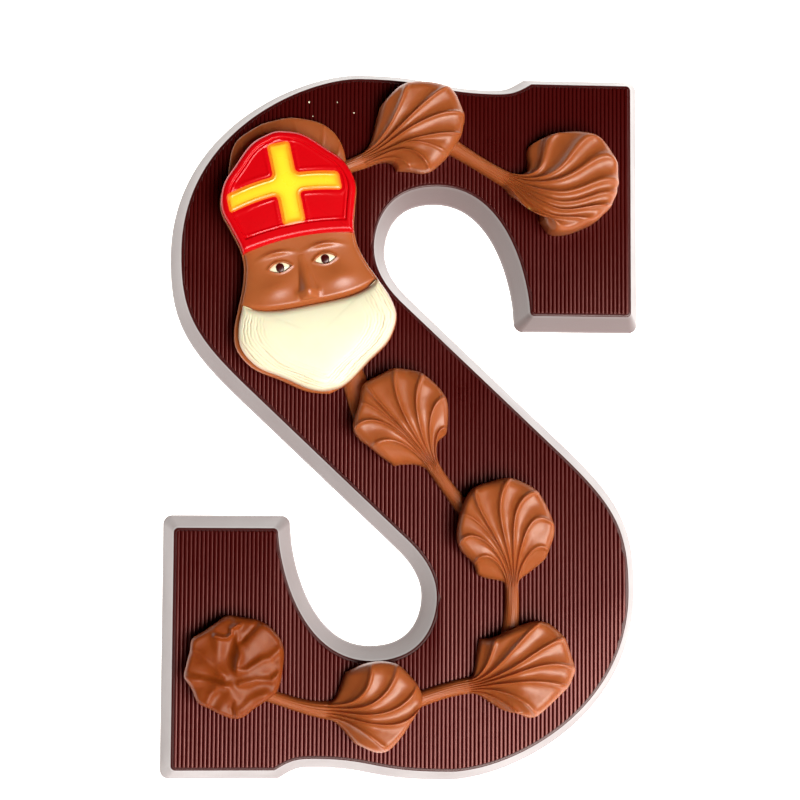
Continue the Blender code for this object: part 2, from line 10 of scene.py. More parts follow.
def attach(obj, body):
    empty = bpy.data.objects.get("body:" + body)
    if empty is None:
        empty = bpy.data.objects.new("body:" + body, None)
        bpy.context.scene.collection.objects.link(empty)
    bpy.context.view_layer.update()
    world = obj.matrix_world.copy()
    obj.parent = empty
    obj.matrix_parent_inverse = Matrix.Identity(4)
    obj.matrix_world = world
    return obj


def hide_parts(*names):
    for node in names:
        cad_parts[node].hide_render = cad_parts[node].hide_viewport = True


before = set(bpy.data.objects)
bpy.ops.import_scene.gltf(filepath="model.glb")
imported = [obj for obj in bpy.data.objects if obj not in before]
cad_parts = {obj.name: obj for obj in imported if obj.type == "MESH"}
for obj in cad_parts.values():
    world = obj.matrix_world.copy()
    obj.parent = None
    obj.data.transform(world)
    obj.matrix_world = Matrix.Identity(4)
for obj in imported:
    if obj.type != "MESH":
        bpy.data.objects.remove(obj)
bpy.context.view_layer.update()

# The slab. A bold letter S of dark chocolate, cast face down in a mould, so that its walls slope outwards to the
# flat back and every edge is a little rounded. Lengths are in millimetres, and MM turns them into metres.
MM = 0.001
SLAB_THICKNESS = 11.0
WALL_DRAFT = 3.5
FACE_CORNER = 1.4
FOOT_CORNER = 2.6
FACE_EDGE_ROUND = 0.45
FOOT_EDGE_ROUND = 0.35
EDGE_STEPS = 5
OUTLINE_STEP = 1.3
CORNER_STEPS = 20
CORNER_REACH = 3
WALL_STEPS = 8
CAP_INSET = 0.05
SLAB_CREASE = math.radians(30)
GLOSS_SPREAD = (0.06, 0.08)
GLOW_COLOURS = (1.0, 0.45, 0.25)
GLOW_REACH = 2.0
DARK_CHOCOLATE = (0.041, 0.0005, 0.0004)
DARK_CHOCOLATE_PALE = (0.048, 0.0010, 0.0008)

# Half of the face's outline, from the arm to the foot: x, y, the heading on leaving, and the pulls of the curve
# before and after. The other half is this one turned half round.
HALF_OUTLINE = (
    (64.0, 30.0, 90, 0, 0),
    (64.0, 96.5, 180, 0, 0),
    (35.5, 96.5, 212, 0, 4.5),
    (25.5, 93.4, 180, 4.5, 18),
    (-13.0, 97.0, 180, 22, 15),
    (-63.0, 47.0, 270, 35, 18),
    (-42.0, 7.0, -43, 23, 0),
    (0.6, -33.0, -43, 0, 7),
    (9.0, -49.0, -90, 6, 6),
    (-9.0, -66.5, -180, 15, 20),
    (-35.2, -30.0, -268, 10, 0),
)
SHARP_CORNERS = ((64.0, 30.0), (64.0, 96.5), (-35.2, -30.0))


def direction(degrees):
    return np.array([math.cos(math.radians(degrees)), math.sin(math.radians(degrees))])


def cubic(start, leave, arrive, end, t):
    """A curve with two ends and two pulls, for numbers and for the sums of a node tree alike."""
    back = 1 - t
    return back**3 * start + 3 * back * back * t * leave + 3 * back * t * t * arrive + t**3 * end


def sharp_outline():
    half = []
    nodes = list(HALF_OUTLINE) + [(-HALF_OUTLINE[0][0], -HALF_OUTLINE[0][1], 0, 0, 0)]
    for (x, y, leave, _, after), (x2, y2, arrive, before, _) in zip(nodes, nodes[1:]):
        start, end = np.array([x, y]), np.array([x2, y2])
        steps = max(2, round(np.linalg.norm(end - start) / OUTLINE_STEP))
        t = np.arange(steps)[:, None] / steps
        if after or before:
            half.append(cubic(start, start + after * direction(leave), end - before * direction(arrive), end, t))
        else:
            half.append(start + (end - start) * t)
    return np.vstack(half + [-part for part in half])


def offset(outline, distance):
    """The outline moved outwards, its corners mitred."""
    along = np.roll(outline, -1, axis=0) - outline
    along /= np.linalg.norm(along, axis=1)[:, None]
    out = np.column_stack([along[:, 1], -along[:, 0]])
    before = np.roll(out, 1, axis=0)
    return outline + distance * (out + before) / (1 + (out * before).sum(axis=1))[:, None]


def round_corner(points, corner, radius):
    """The arc that rounds a sharp corner."""
    here = points[corner]
    reach, cut, shortest = 0, 1, 0
    while cut > shortest:
        reach += 1
        sides = [points[(corner + step) % len(points)] - here for step in (-reach, reach)]
        shortest = min(np.linalg.norm(side) for side in sides)
        back, ahead = (side / np.linalg.norm(side) for side in sides)
        half_angle = math.acos(np.clip(back @ ahead, -1, 1)) / 2
        cut = radius / math.tan(half_angle)
    middle = here + (back + ahead) / np.linalg.norm(back + ahead) * radius / math.sin(half_angle)
    first, last = here + back * cut - middle, here + ahead * cut - middle
    turn = math.atan2(first[0] * last[1] - first[1] * last[0], first @ last)
    return [
        middle + (first[0] * math.cos(a) - first[1] * math.sin(a), first[0] * math.sin(a) + first[1] * math.cos(a))
        for a in np.linspace(0, turn, CORNER_STEPS + 1)
    ]


def letter_outline(distance, radius):
    """The letter's outline, moved out by a distance, with an arc in place of the points near each outer corner."""
    sharp = sharp_outline()
    moved = offset(sharp, distance)
    places = np.array(SHARP_CORNERS)
    corners = [int(np.argmin(np.linalg.norm(sharp - place, axis=1))) for place in (*places, *-places)]
    rounded = []
    for i, point in enumerate(moved):
        if i in corners:
            rounded.extend(round_corner(moved, i, radius))
        elif min(min((i - corner) % len(moved), (corner - i) % len(moved)) for corner in corners) > CORNER_REACH:
            rounded.append(point)
    return np.array(rounded)


def ring_mesh(name, rings, last_point=None):
    """A closed mesh through rings of points, flat underneath, and closed on top by a point or a flat face."""
    count = len(rings[0])
    index = np.arange(len(rings) * count).reshape(len(rings), count)
    low, high = index[:-1], index[1:]
    quads = np.stack([low, np.roll(low, -1, axis=1), np.roll(high, -1, axis=1), high], axis=2).reshape(-1, 4)
    faces = quads.tolist() + [index[0, ::-1].tolist()]
    points = np.vstack(rings)
    if last_point is None:
        faces.append(index[-1].tolist())
    else:
        points = np.vstack([points, last_point])
        faces += [[int(a), int(b), len(points) - 1] for a, b in zip(index[-1], np.roll(index[-1], -1))]
    mesh = bpy.data.meshes.new(name)
    mesh.from_pydata((points * MM).tolist(), [], faces)
    return mesh


def put(name, data):
    thing = bpy.data.objects.new(name, data)
    bpy.context.scene.collection.objects.link(thing)
    return thing


def add_piece(name, mesh, material, replaced=None):
    """Puts a finished mesh in the scene: it rides on the letter and may stand for a solid."""
    piece = put(name, mesh)
    if not mesh.materials:
        mesh.materials.append(material)
    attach(piece, "root")
    if replaced:
        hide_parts(replaced)


def at_height(outline, z):
    return np.column_stack([outline, np.full(len(outline), z)])


def give(node, values):
    """Sets a node's inputs by name."""
    for name, value in values.items():
        node.inputs[name].default_value = value
    return node


def chocolate(name, colour, pale, gloss, cloud_size, grain_size, grain_depth, tint=(1.0, 1.0, 1.0), shine=0.5,
              glow=0.0):
    """Chocolate: a clouded colour, an uneven gloss and a very fine grain. Sizes are in millimetres."""
    material = bpy.data.materials.new(name)
    material.use_nodes = True
    nodes, links = material.node_tree.nodes, material.node_tree.links
    place = nodes.new("ShaderNodeTexCoord").outputs["Object"]
    cloud = give(nodes.new("ShaderNodeTexNoise"), {"Scale": 1 / (cloud_size * MM), "Detail": 4})
    grain = give(nodes.new("ShaderNodeTexNoise"), {"Scale": 1 / (grain_size * MM), "Detail": 3})
    mix = nodes.new("ShaderNodeMix")
    mix.data_type = "RGBA"
    give(mix, {"A": (*colour, 1), "B": (*pale, 1)})
    low, high = GLOSS_SPREAD
    rough = give(nodes.new("ShaderNodeMapRange"), {"To Min": gloss - low, "To Max": gloss + high})
    bumps = give(nodes.new("ShaderNodeBump"), {"Distance": grain_depth * MM})
    shader = give(nodes["Principled BSDF"], {
        "Specular Tint": (*tint, 1), "Specular IOR Level": shine, "Subsurface Weight": glow,
        "Subsurface Radius": GLOW_COLOURS, "Subsurface Scale": GLOW_REACH * MM,
    })
    for source, target in (
        (place, cloud.inputs["Vector"]), (cloud.outputs["Fac"], mix.inputs["Factor"]),
        (mix.outputs["Result"], shader.inputs["Base Color"]), (cloud.outputs["Fac"], rough.inputs["Value"]),
        (rough.outputs["Result"], shader.inputs["Roughness"]), (place, grain.inputs["Vector"]),
        (grain.outputs["Fac"], bumps.inputs["Height"]), (bumps.outputs["Normal"], shader.inputs["Normal"]),
    ):
        links.new(source, target)
    return material


dark_chocolate = chocolate("dark_chocolate", DARK_CHOCOLATE, DARK_CHOCOLATE_PALE, 0.3, 14, 0.8, 0.01, (1, 0.9, 0.84))

quarter = [math.pi / 2 * step / EDGE_STEPS for step in range(EDGE_STEPS + 1)]
levels = [(WALL_DRAFT - FOOT_EDGE_ROUND * (1 - math.sin(a)), FOOT_CORNER, FOOT_EDGE_ROUND * (1 - math.cos(a)))
          for a in quarter]
for part in (step / WALL_STEPS for step in range(1, WALL_STEPS)):
    levels.append((WALL_DRAFT * (1 - part), FOOT_CORNER + (FACE_CORNER - FOOT_CORNER) * part,
                   FOOT_EDGE_ROUND + (SLAB_THICKNESS - FACE_EDGE_ROUND - FOOT_EDGE_ROUND) * part))
levels += [(-FACE_EDGE_ROUND * (1 - math.cos(a)), FACE_CORNER, SLAB_THICKNESS - FACE_EDGE_ROUND * (1 - math.sin(a)))
           for a in quarter]
levels.append((-FACE_EDGE_ROUND - CAP_INSET, FACE_CORNER, SLAB_THICKNESS))
slab_mesh = ring_mesh("slab", [at_height(letter_outline(distance, corner), z) for distance, corner, z in levels])
slab_mesh.shade_smooth()
slab_mesh.set_sharp_from_angle(angle=SLAB_CREASE)
add_piece("slab", slab_mesh, dark_chocolate, "letter")

# The ribs. Fine upright ribs cast on the whole face, which stop short of its edge, each with a rounded back and
# blunt ends that follow the outline.
RIB_PITCH = 1.15
RIB_HEIGHT = 0.35
RIBS = 118
RIB_MARGIN = 0.8
RIB_TIP = 0.55
RIB_ROWS = 8
RIB_COLUMNS = 9
RIB_CREASE = math.radians(40)
RIB_SQUARENESS = 4.5
RIB_FOOT = 0.15
RIB_MIDDLE = 0.9
STEEPEST_END = 2.5
SHORTEST_RIB = 1.6


class Worked:
    """A number that math nodes work out at every point, so that a tree is written as plain sums."""

    def __init__(self, tree, socket):
        self.tree = tree
        self.socket = socket

    def work(self, operation, *others):
        node = self.tree.nodes.new("ShaderNodeMath")
        node.operation = operation
        for socket, value in zip(node.inputs, (self, *others)):
            if isinstance(value, Worked):
                self.tree.links.new(value.socket, socket)
            else:
                socket.default_value = value
        return Worked(self.tree, node.outputs[0])

    __add__ = __radd__ = partialmethod(work, "ADD")
    __sub__ = partialmethod(work, "SUBTRACT")
    __mul__ = __rmul__ = partialmethod(work, "MULTIPLY")
    __truediv__ = partialmethod(work, "DIVIDE")
    __pow__ = partialmethod(work, "POWER")
    abs = partialmethod(work, "ABSOLUTE")
    sin = partialmethod(work, "SINE")
    cos = partialmethod(work, "COSINE")
    at_least = partialmethod(work, "MAXIMUM")
    at_most = partialmethod(work, "MINIMUM")
    below = partialmethod(work, "LESS_THAN")

    def __rsub__(self, other):
        return self * -1 + other

    def root(self):
        return self.at_least(0).work("SQRT")

    def within(self):
        return self.at_least(0).at_most(1)

    def if_negative(self, negative, positive):
        share = self.below(0)
        return share * negative + (1 - share) * positive


class Tree:
    """A Geometry Nodes tree with named inputs for its sizes."""

    def __init__(self, name, sizes):
        self.tree = bpy.data.node_groups.new(name, "GeometryNodeTree")
        self.tree.interface.new_socket("Geometry", in_out="INPUT", socket_type="NodeSocketGeometry")
        self.keys = {}
        for size in sizes:
            socket = self.tree.interface.new_socket(size, in_out="INPUT", socket_type="NodeSocketFloat")
            self.keys[size] = socket.identifier
        self.tree.interface.new_socket("Geometry", in_out="OUTPUT", socket_type="NodeSocketGeometry")
        self.start = self.add("NodeGroupInput")
        self.geometry = self.start.outputs["Geometry"]

    def add(self, kind, **settings):
        node = self.tree.nodes.new(kind)
        for key, value in settings.items():
            setattr(node, key, value)
        return node

    def join(self, source, target):
        self.tree.links.new(source.socket if isinstance(source, Worked) else source, target)

    def size(self, name):
        return Worked(self.tree, self.start.outputs[name])

    def place(self):
        parts = self.add("ShaderNodeSeparateXYZ")
        self.join(self.add("GeometryNodeInputPosition").outputs[0], parts.inputs[0])
        return [Worked(self.tree, output) for output in parts.outputs]

    def stored(self, name):
        node = give(self.add("GeometryNodeInputNamedAttribute", data_type="FLOAT"), {"Name": name})
        return Worked(self.tree, node.outputs["Attribute"])

    def step(self, kind, links=None, **settings):
        """Adds a node that the geometry passes through."""
        node = self.add(kind, **settings)
        for name, value in {"Geometry": self.geometry, **(links or {})}.items():
            self.join(value, node.inputs[name])
        self.geometry = node.outputs["Geometry"]
        return node

    def store(self, name, value):
        give(self.step("GeometryNodeStoreNamedAttribute", {"Value": value}, data_type="FLOAT", domain="POINT"),
             {"Name": name})

    def vector(self, *parts):
        node = self.add("ShaderNodeCombineXYZ")
        for value, socket in zip(parts, node.inputs):
            self.join(value, socket)
        return node.outputs[0]

    def move_to(self, *place):
        """Moves every point to a place worked out in millimetres."""
        self.step("GeometryNodeSetPosition", {"Position": self.vector(*(value * MM for value in place))})

    def noise(self, scale, *place):
        node = give(self.add("ShaderNodeTexNoise"), {"Scale": scale})
        self.join(self.vector(*place), node.inputs["Vector"])
        return Worked(self.tree, node.outputs["Fac"]) - 0.5

    def finish(self, material):
        self.step("GeometryNodeRealizeInstances")
        self.step("GeometryNodeSetShadeSmooth")
        give(self.step("GeometryNodeSetMaterial"), {"Material": material})
        self.join(self.geometry, self.add("NodeGroupOutput").inputs["Geometry"])

    def run(self, name, mesh, **sizes):
        """Runs the tree over a mesh and returns the result as a plain mesh."""
        holder = put(name + "_before", mesh)
        modifier = holder.modifiers.new(name, "NODES")
        modifier.node_group = self.tree
        for size, value in sizes.items():
            modifier[self.keys[size]] = float(value)
        bpy.context.view_layer.update()
        grown = bpy.data.meshes.new_from_object(holder.evaluated_get(bpy.context.evaluated_depsgraph_get()))
        holder.modifiers.remove(modifier)
        bpy.data.objects.remove(holder)
        grown.name = name
        return grown


ribbed_chocolate = chocolate("ribbed_chocolate", DARK_CHOCOLATE, DARK_CHOCOLATE_PALE, 0.29, 14, 0.8, 0.01,
                             (1, 0.48, 0.42), shine=0.62)


def rib_tree():
    tree = Tree("ribs", ("pitch", "height", "tip", "face"))
    block = give(tree.add("GeometryNodeMeshCube"),
                 {"Size": (2, 2, 2), "Vertices X": RIB_COLUMNS, "Vertices Y": RIB_ROWS})
    points = tree.geometry
    tree.geometry = block.outputs["Mesh"]
    for name, value in zip(("across", "along", "upright"), tree.place()):
        tree.store(name, value)
    copies = tree.add("GeometryNodeInstanceOnPoints")
    tree.join(points, copies.inputs["Points"])
    tree.join(tree.geometry, copies.inputs["Instance"])
    tree.geometry = copies.outputs["Instances"]
    tree.step("GeometryNodeRealizeInstances")

    across, along, upright = tree.stored("across"), tree.stored("along"), tree.stored("upright")
    row = (1 - along.abs()) * ((RIB_ROWS - 1) / 2)
    last_tip_row = (RIB_ROWS - 1) // 2 - 1
    in_tip = row.below(last_tip_row + 0.5)
    part = (row / last_tip_row).within()
    from_end = in_tip * (tree.size("tip") * part**1.5) + (1 - in_tip) * (tree.stored("half_length") * RIB_MIDDLE)
    taper = (1 - (1 - part) ** 2).root()
    side = across * (tree.size("pitch") / 2)
    slant = along.if_negative(tree.stored("lower_slant"), tree.stored("upper_slant"))
    end = along.if_negative(-1.0, 1.0)
    x = tree.stored("middle_x") + side
    y = tree.stored("middle_y") + end * (tree.stored("half_length") - from_end) + side * slant
    back = tree.size("height") * (1 - across.abs() ** RIB_SQUARENESS).within() * taper
    z = tree.size("face") + upright.if_negative(-RIB_FOOT, back)
    tree.move_to(x, y, z)
    tree.finish(ribbed_chocolate)
    return tree


def ribs_across_field():
    """Middle, half length and end slants of every rib, from where its middle line crosses the field's edge."""
    field = letter_outline(-RIB_MARGIN, FACE_CORNER / 2)
    start, end = field, np.roll(field, -1, axis=0)
    found = []
    for rib in range(RIBS):
        x = (rib + 0.5 - RIBS / 2) * RIB_PITCH
        crossed = (start[:, 0] - x) * (end[:, 0] - x) < 0
        a, b = start[crossed], end[crossed]
        slope = (b[:, 1] - a[:, 1]) / (b[:, 0] - a[:, 0])
        height = a[:, 1] + (x - a[:, 0]) * slope
        order = np.argsort(height)
        for low, high in zip(order[::2], order[1::2]):
            if height[high] - height[low] > SHORTEST_RIB:
                slants = np.clip((slope[low], slope[high]), -STEEPEST_END, STEEPEST_END)
                found.append((x, (height[low] + height[high]) / 2, (height[high] - height[low]) / 2, *slants))
    return np.array(found)


def write_values(mesh, name, values):
    mesh.attributes.new(name, "FLOAT", "POINT").data.foreach_set("value", np.ravel(values).astype(np.float32))


rib_places = ribs_across_field()
rib_points = bpy.data.meshes.new("rib_points")
rib_points.from_pydata(np.zeros((len(rib_places), 3)).tolist(), [], [])
for column, name in enumerate(("middle_x", "middle_y", "half_length", "lower_slant", "upper_slant")):
    write_values(rib_points, name, rib_places[:, column])
ribs = rib_tree().run("ribs", rib_points, pitch=RIB_PITCH, height=RIB_HEIGHT, tip=RIB_TIP, face=SLAB_THICKNESS)
ribs.set_sharp_from_angle(angle=RIB_CREASE)
add_piece("ribs", ribs, ribbed_chocolate)

# The garland's shells. Each is one squeeze of soft milk chocolate from a star nozzle: a ridged fan that is drawn
# off into a strand, over whose end the next shell is piped. All are still soft where they touch, and so fused.
DECOR_FLOOR = 11.65
SINK = 0.4
MILK_CHOCOLATE = (0.31, 0.070, 0.013)
MILK_CHOCOLATE_PALE = (0.36, 0.088, 0.020)
STRAND_HEIGHT = 2.4
STRAND_PULL = 0.35
STRAND_RIDGES = 0.08
SPREAD = 14.0
NECK_PITCH = 0.6
RIM_PITCH = 5.0
FLUTE_DEPTH = (0.27, 0.42)
BEAD_HEIGHT = (0.4, 0.6)
BEAD_HALF = (0.17, 0.38)
RIM_LOBES = 0.012
RIM_START = 0.87
RIM_TURN = 0.985
RIM_ROUND = 0.31
RIM_TUCK = 0.03
SET_OFF = 0.5
PASSING = 0.6
DOME_RISE = 0.48
DOME_FALL = 0.6
DOME_SIDES = 0.08
DOME_FRONT = 0.12
USUAL_HEIGHT = 8
FADE = (0.55, 0.3)
FLUTE_NOISE = 0.2
FLUTE_UNEVEN = 0.8
LUMP_NOISE = 0.16
LUMPS = 0.5
SQUARE_SIDES = 34
EDGE_COLUMNS = (0.12, 0.05, 0.016, 0.004)
COLUMNS_PER_RIDGE = 22
FAN_ROWS = 56
STRAND_ROWS = 26


def piped(root, heading, neck, neck_half, strand_half, strand_end, end_half, length, height, crests,
          strand_height=STRAND_HEIGHT, soft=1.0, sway=0.0):
    """One shell. Every crest, from the left side to the right one, is a point that it passes and its tip, from the
    root, and how strong it is where it isn't 1. The first and the last are the fan's smooth sides. A soft shell's
    crests are that many times as broad, and run out before its rim. Where the nozzle swayed, they wave as far.
    Gives the crests back, and the sizes that the shells' tree asks for."""
    sizes = dict(
        heading=math.radians(heading), neck_half=neck_half, strand_half=strand_half, end_half=end_half, length=length,
        height=height, strand_height=strand_height, soft=soft, sway=sway, last_crest=len(crests) - 1,
    )
    for name, (x, y) in {"root": root, "neck": neck, "end": np.subtract(strand_end, root)}.items():
        sizes.update({name + "_x": x, name + "_y": y})
    return crests, sizes


SHELLS = {
    "shell_arm": piped((28.3, 70.6), -28, (0.0, -2.0), 2.4, 1.7, (9.0, 80.0), 2.7, 32.0, 8.5, (
        ((5.5, 3.0), (8.0, 8.0)), ((9.5, 3.5), (14.5, 11.0)), ((16.0, 3.0), (25.5, 10.0)),
        ((19.5, 0.0), (31.0, 2.5)), ((19.5, -5.5), (31.5, -3.5)), ((18.5, -9.0), (31.0, -6.5), 0.6),
        ((17.0, -11.5), (29.0, -10.5)), ((13.5, -13.5), (23.5, -15.0), 0.8), ((8.5, -13.0), (13.5, -18.0)),
        ((5.0, -7.5), (9.0, -14.0)),
    ), soft=2.2, sway=1.7),
    "shell_crown": piped((-12.2, 76.3), 22, (0.0, -3.0), 2.2, 1.8, (-24.0, 68.5), 2.0, 31.0, 8.0, (
        ((3.0, 6.5), (4.5, 12.0)), ((8.5, 9.0), (12.0, 18.5)), ((14.5, 10.0), (24.0, 17.5)),
        ((16.5, 7.0), (28.5, 9.5)), ((16.5, 2.5), (27.5, 3.5)), ((12.5, 1.0), (24.0, -2.5), 0.5),
        ((11.5, -1.0), (18.5, -7.0)), ((8.5, -3.0), (13.0, -6.5), 0.4), ((6.5, -3.5), (9.0, -6.0)),
    )),
    "shell_waist": piped((8.1, -11.7), 122, (0.0, -1.5), 1.9, 1.6, (20.0, -28.5), 2.8, 30.0, 8.0, (
        ((-6.5, -0.5), (-11.0, -1.0)), ((-11.0, 5.5), (-18.0, 3.5)), ((-14.5, 10.5), (-23.0, 8.5)),
        ((-13.5, 12.0), (-21.5, 16.5), 0.5), ((-13.0, 13.0), (-20.0, 22.0)), ((-9.5, 14.0), (-11.5, 26.5)),
        ((-5.5, 14.0), (-3.5, 25.0)), ((-1.5, 12.5), (3.0, 18.0)), ((0.5, 7.5), (3.5, 9.0)), ((0.5, 4.5), (2.0, 6.5)),
    )),
    "shell_spine": piped((30.8, -45.4), 94, (-1.0, 0.0), 1.95, 1.8, (29.0, -66.0), 3.2, 30.0, 8.5, (
        ((-7.0, 1.5), (-10.5, 3.0)), ((-7.5, 7.5), (-12.0, 5.5)), ((-10.0, 12.5), (-16.5, 11.0)),
        ((-9.5, 15.5), (-16.0, 19.5), 0.5), ((-9.0, 17.5), (-12.0, 27.0)), ((-5.0, 18.5), (-2.0, 30.0)),
        ((-1.0, 19.0), (6.0, 26.0)), ((3.0, 16.5), (10.5, 16.0)), ((4.0, 9.5), (9.0, 9.0)), ((3.5, 3.0), (8.0, 7.0)),
    )),
    "shell_bowl": piped((18.2, -72.0), 8, (0.0, -1.2), 2.3, 1.9, (-3.0, -79.5), 2.4, 29.5, 8.5, (
        ((1.5, 5.0), (2.5, 11.5)), ((4.5, 5.5), (6.5, 12.5)), ((10.5, 8.5), (19.0, 17.0)),
        ((16.0, 7.5), (26.0, 12.5)), ((17.5, 4.5), (29.0, 3.5)), ((15.5, 0.5), (27.0, -1.5)),
        ((11.5, -3.5), (18.0, -9.5)), ((9.0, -5.5), (12.5, -8.5)), ((5.0, -5.5), (8.5, -7.5)),
    )),
    "shell_base": piped((-20.9, -78.2), -3, (0.0, -1.8), 2.6, 1.6, (-42.0, -74.5), 1.9, 26.0, 8.0, (
        ((3.0, 4.5), (4.5, 8.5)), ((9.0, 3.0), (11.5, 12.0)), ((13.0, 1.5), (19.0, 11.5)),
        ((16.0, -1.5), (24.5, 6.0)), ((16.5, -5.0), (25.5, 0.5)), ((9.5, -7.0), (16.5, -12.5)),
        ((3.5, -6.5), (7.0, -10.5)),
    )),
    "bed": piped((-28.5, 54.5), 96, (0.0, 0.0), 2.0, 1.8, (-10.5, 0.5), 4.2, 30.3, 2.2, (
        ((-7.0, 4.0), (-14.0, 5.0)), ((-11.0, 8.0), (-21.0, 10.0), 0.3), ((-12.0, 12.5), (-21.5, 17.5), 0.3),
        ((-11.0, 15.0), (-19.5, 24.0), 0.3), ((-7.0, 17.0), (-12.5, 29.0), 0.3), ((-1.0, 18.0), (-4.0, 31.0), 0.3),
        ((3.5, 17.0), (5.0, 29.0), 0.3), ((6.0, 14.0), (10.0, 23.5), 0.3), ((7.0, 8.0), (11.5, 16.0)),
    ), strand_height=1.9),
}
milk_chocolate = chocolate("milk_chocolate", MILK_CHOCOLATE, MILK_CHOCOLATE_PALE, 0.38, 9, 0.5, 0.02, (1, 0.9, 0.8),
                           shine=0.52, glow=0.35)


def eased(part):
    """A share from 0 to 1 that starts and ends gently."""
    return part * part * (3 - 2 * part)


def smooth_through(knots, values, at):
    slope = np.gradient(values, knots)
    i = np.clip(np.searchsorted(knots, at) - 1, 0, len(knots) - 2)
    span = knots[i + 1] - knots[i]
    t = (at - knots[i]) / span
    return (
        (2 * t**3 - 3 * t**2 + 1) * values[i] + (t**3 - 2 * t**2 + t) * span * slope[i]
        + (3 * t**2 - 2 * t**3) * values[i + 1] + (t**3 - t**2) * span * slope[i + 1]
    )


def ridge_shape(number, along, soft):
    """A shell's cross-section: how high the flutes between its crests are, and the thin bead on every crest."""
    dip = (number * math.pi).sin()
    pitch = NECK_PITCH + (RIM_PITCH - NECK_PITCH) * along
    half = (BEAD_HALF[0] + (BEAD_HALF[1] - BEAD_HALF[0]) * along) * (1 + (soft - 1) * along)
    from_crest = dip.abs() / math.pi * pitch / half
    return 0.5 - dip * dip, (1 + from_crest**4) ** -1


def fan_shape(tree, across, along, scallop, bead):
    """Plan and height of a fan, from the shell's root. Every column of the blank runs on a curve that leaves the
    neck along the heading, passes one point and ends at the column's tip."""
    forward = (tree.size("heading").cos(), tree.size("heading").sin())
    right = (forward[1], forward[0] * -1)
    start = [tree.size("neck_" + axis) + across * tree.size("neck_half") * side for axis, side in zip("xy", right)]
    passed = [tree.stored("passed_" + axis) for axis in "xy"]
    far = ((passed[0] - start[0]) ** 2 + (passed[1] - start[1]) ** 2).root()
    reach = along - RIM_TUCK * ((along - RIM_TURN).at_least(0) / (1 - RIM_TURN)) ** 2
    still = 1 - PASSING
    lobes = (1 - 4 * across * across) * RIM_LOBES
    plan = []
    for axis in (0, 1):
        leave = start[axis] + far * SET_OFF * forward[axis]
        tip = tree.stored("tip_" + "xy"[axis]) * (1 + lobes * (scallop - 0.5))
        known = start[axis] * still**3 + leave * (3 * still**2 * PASSING) + tip * PASSING**3
        arrive = (passed[axis] - known) / (3 * still * PASSING**2)
        plan.append(cubic(start[axis], leave, arrive, tip, reach))
    run = [tree.stored("tip_" + axis) - at for axis, at in zip("xy", start)]
    sway = tree.size("sway") * (along**1.5 * (2 * math.pi)).sin() / (run[0] * run[0] + run[1] * run[1]).root()
    x = plan[0] + sway * run[1]
    y = plan[1] - sway * run[0]
    ahead = x * forward[0] + y * forward[1]
    aside = (x * right[0] + y * right[1]) / SPREAD

    length = tree.size("length")
    rise = eased((ahead / (DOME_RISE * length)).within())
    beyond = ((ahead / length - DOME_FALL) / (1 - DOME_FALL)).within()
    dome = tree.size("strand_height") + (tree.size("height") - tree.size("strand_height")) * rise
    dome = dome * (1 - DOME_SIDES * aside * aside * rise) * (1 - DOME_FRONT * beyond * beyond)
    growth = along * tree.size("height") / USUAL_HEIGHT
    fade = 1 - (FADE[0] + FADE[1] * (tree.size("soft") - 1)) * along**10
    uneven = 1 + FLUTE_UNEVEN * tree.noise(FLUTE_NOISE, x, y, tree.size("seed") * 3)
    flute = (FLUTE_DEPTH[0] + FLUTE_DEPTH[1] * growth) * fade * uneven
    relief = flute * scallop + (BEAD_HEIGHT[0] + BEAD_HEIGHT[1] * growth) * fade * bead
    squareness = 2 + SQUARE_SIDES * (along / 0.5).within()
    side = (1 - across.abs() ** squareness).root()
    turning = ((along - RIM_START) / (RIM_TURN - RIM_START)).within()
    wall = 1 - ((along - RIM_TURN) / (1 - RIM_TURN)).within()
    lumps = tree.noise(LUMP_NOISE, x, y, tree.size("seed") * 7) * LUMPS * rise
    rounding = RIM_ROUND * tree.size("height") * (1 - (1 - turning * turning).root())
    z = (dome + relief + SINK + lumps - rounding) * side * wall
    return x, y, z


def strand_shape(tree, across, along, bead):
    """Plan and height of a strand, from the shell's root, from its far end at along 0 to the neck at 1."""
    back = 1 - along
    forward = (tree.size("heading").cos(), tree.size("heading").sin())
    ends = [(tree.size("end_" + axis), tree.size("neck_" + axis)) for axis in "xy"]
    pull = STRAND_PULL * ((ends[0][0] - ends[0][1]) ** 2 + (ends[1][0] - ends[1][1]) ** 2).root()
    middle, slope = [], []
    for (end, neck), ahead in zip(ends, forward):
        leave = end + STRAND_PULL * (neck - end)
        arrive = neck - pull * ahead
        middle.append(cubic(end, leave, arrive, neck, along))
        slope.append(
            back * back * (leave - end) + 2 * back * along * (arrive - leave) + along * along * (neck - arrive)
        )
    steep = (slope[0] * slope[0] + slope[1] * slope[1]).root()
    half = tree.size("strand_half") + (tree.size("neck_half") - tree.size("strand_half")) * along**3
    half = half + (tree.size("end_half") - tree.size("strand_half")) * back**1.6
    side = half * across / steep
    x = middle[0] + side * slope[1]
    y = middle[1] - side * slope[0]
    ridges = (STRAND_RIDGES + (BEAD_HEIGHT[0] - STRAND_RIDGES) * along**4) * bead
    z = (tree.size("strand_height") + SINK + ridges) * (1 - across * across).root()
    return x, y, z


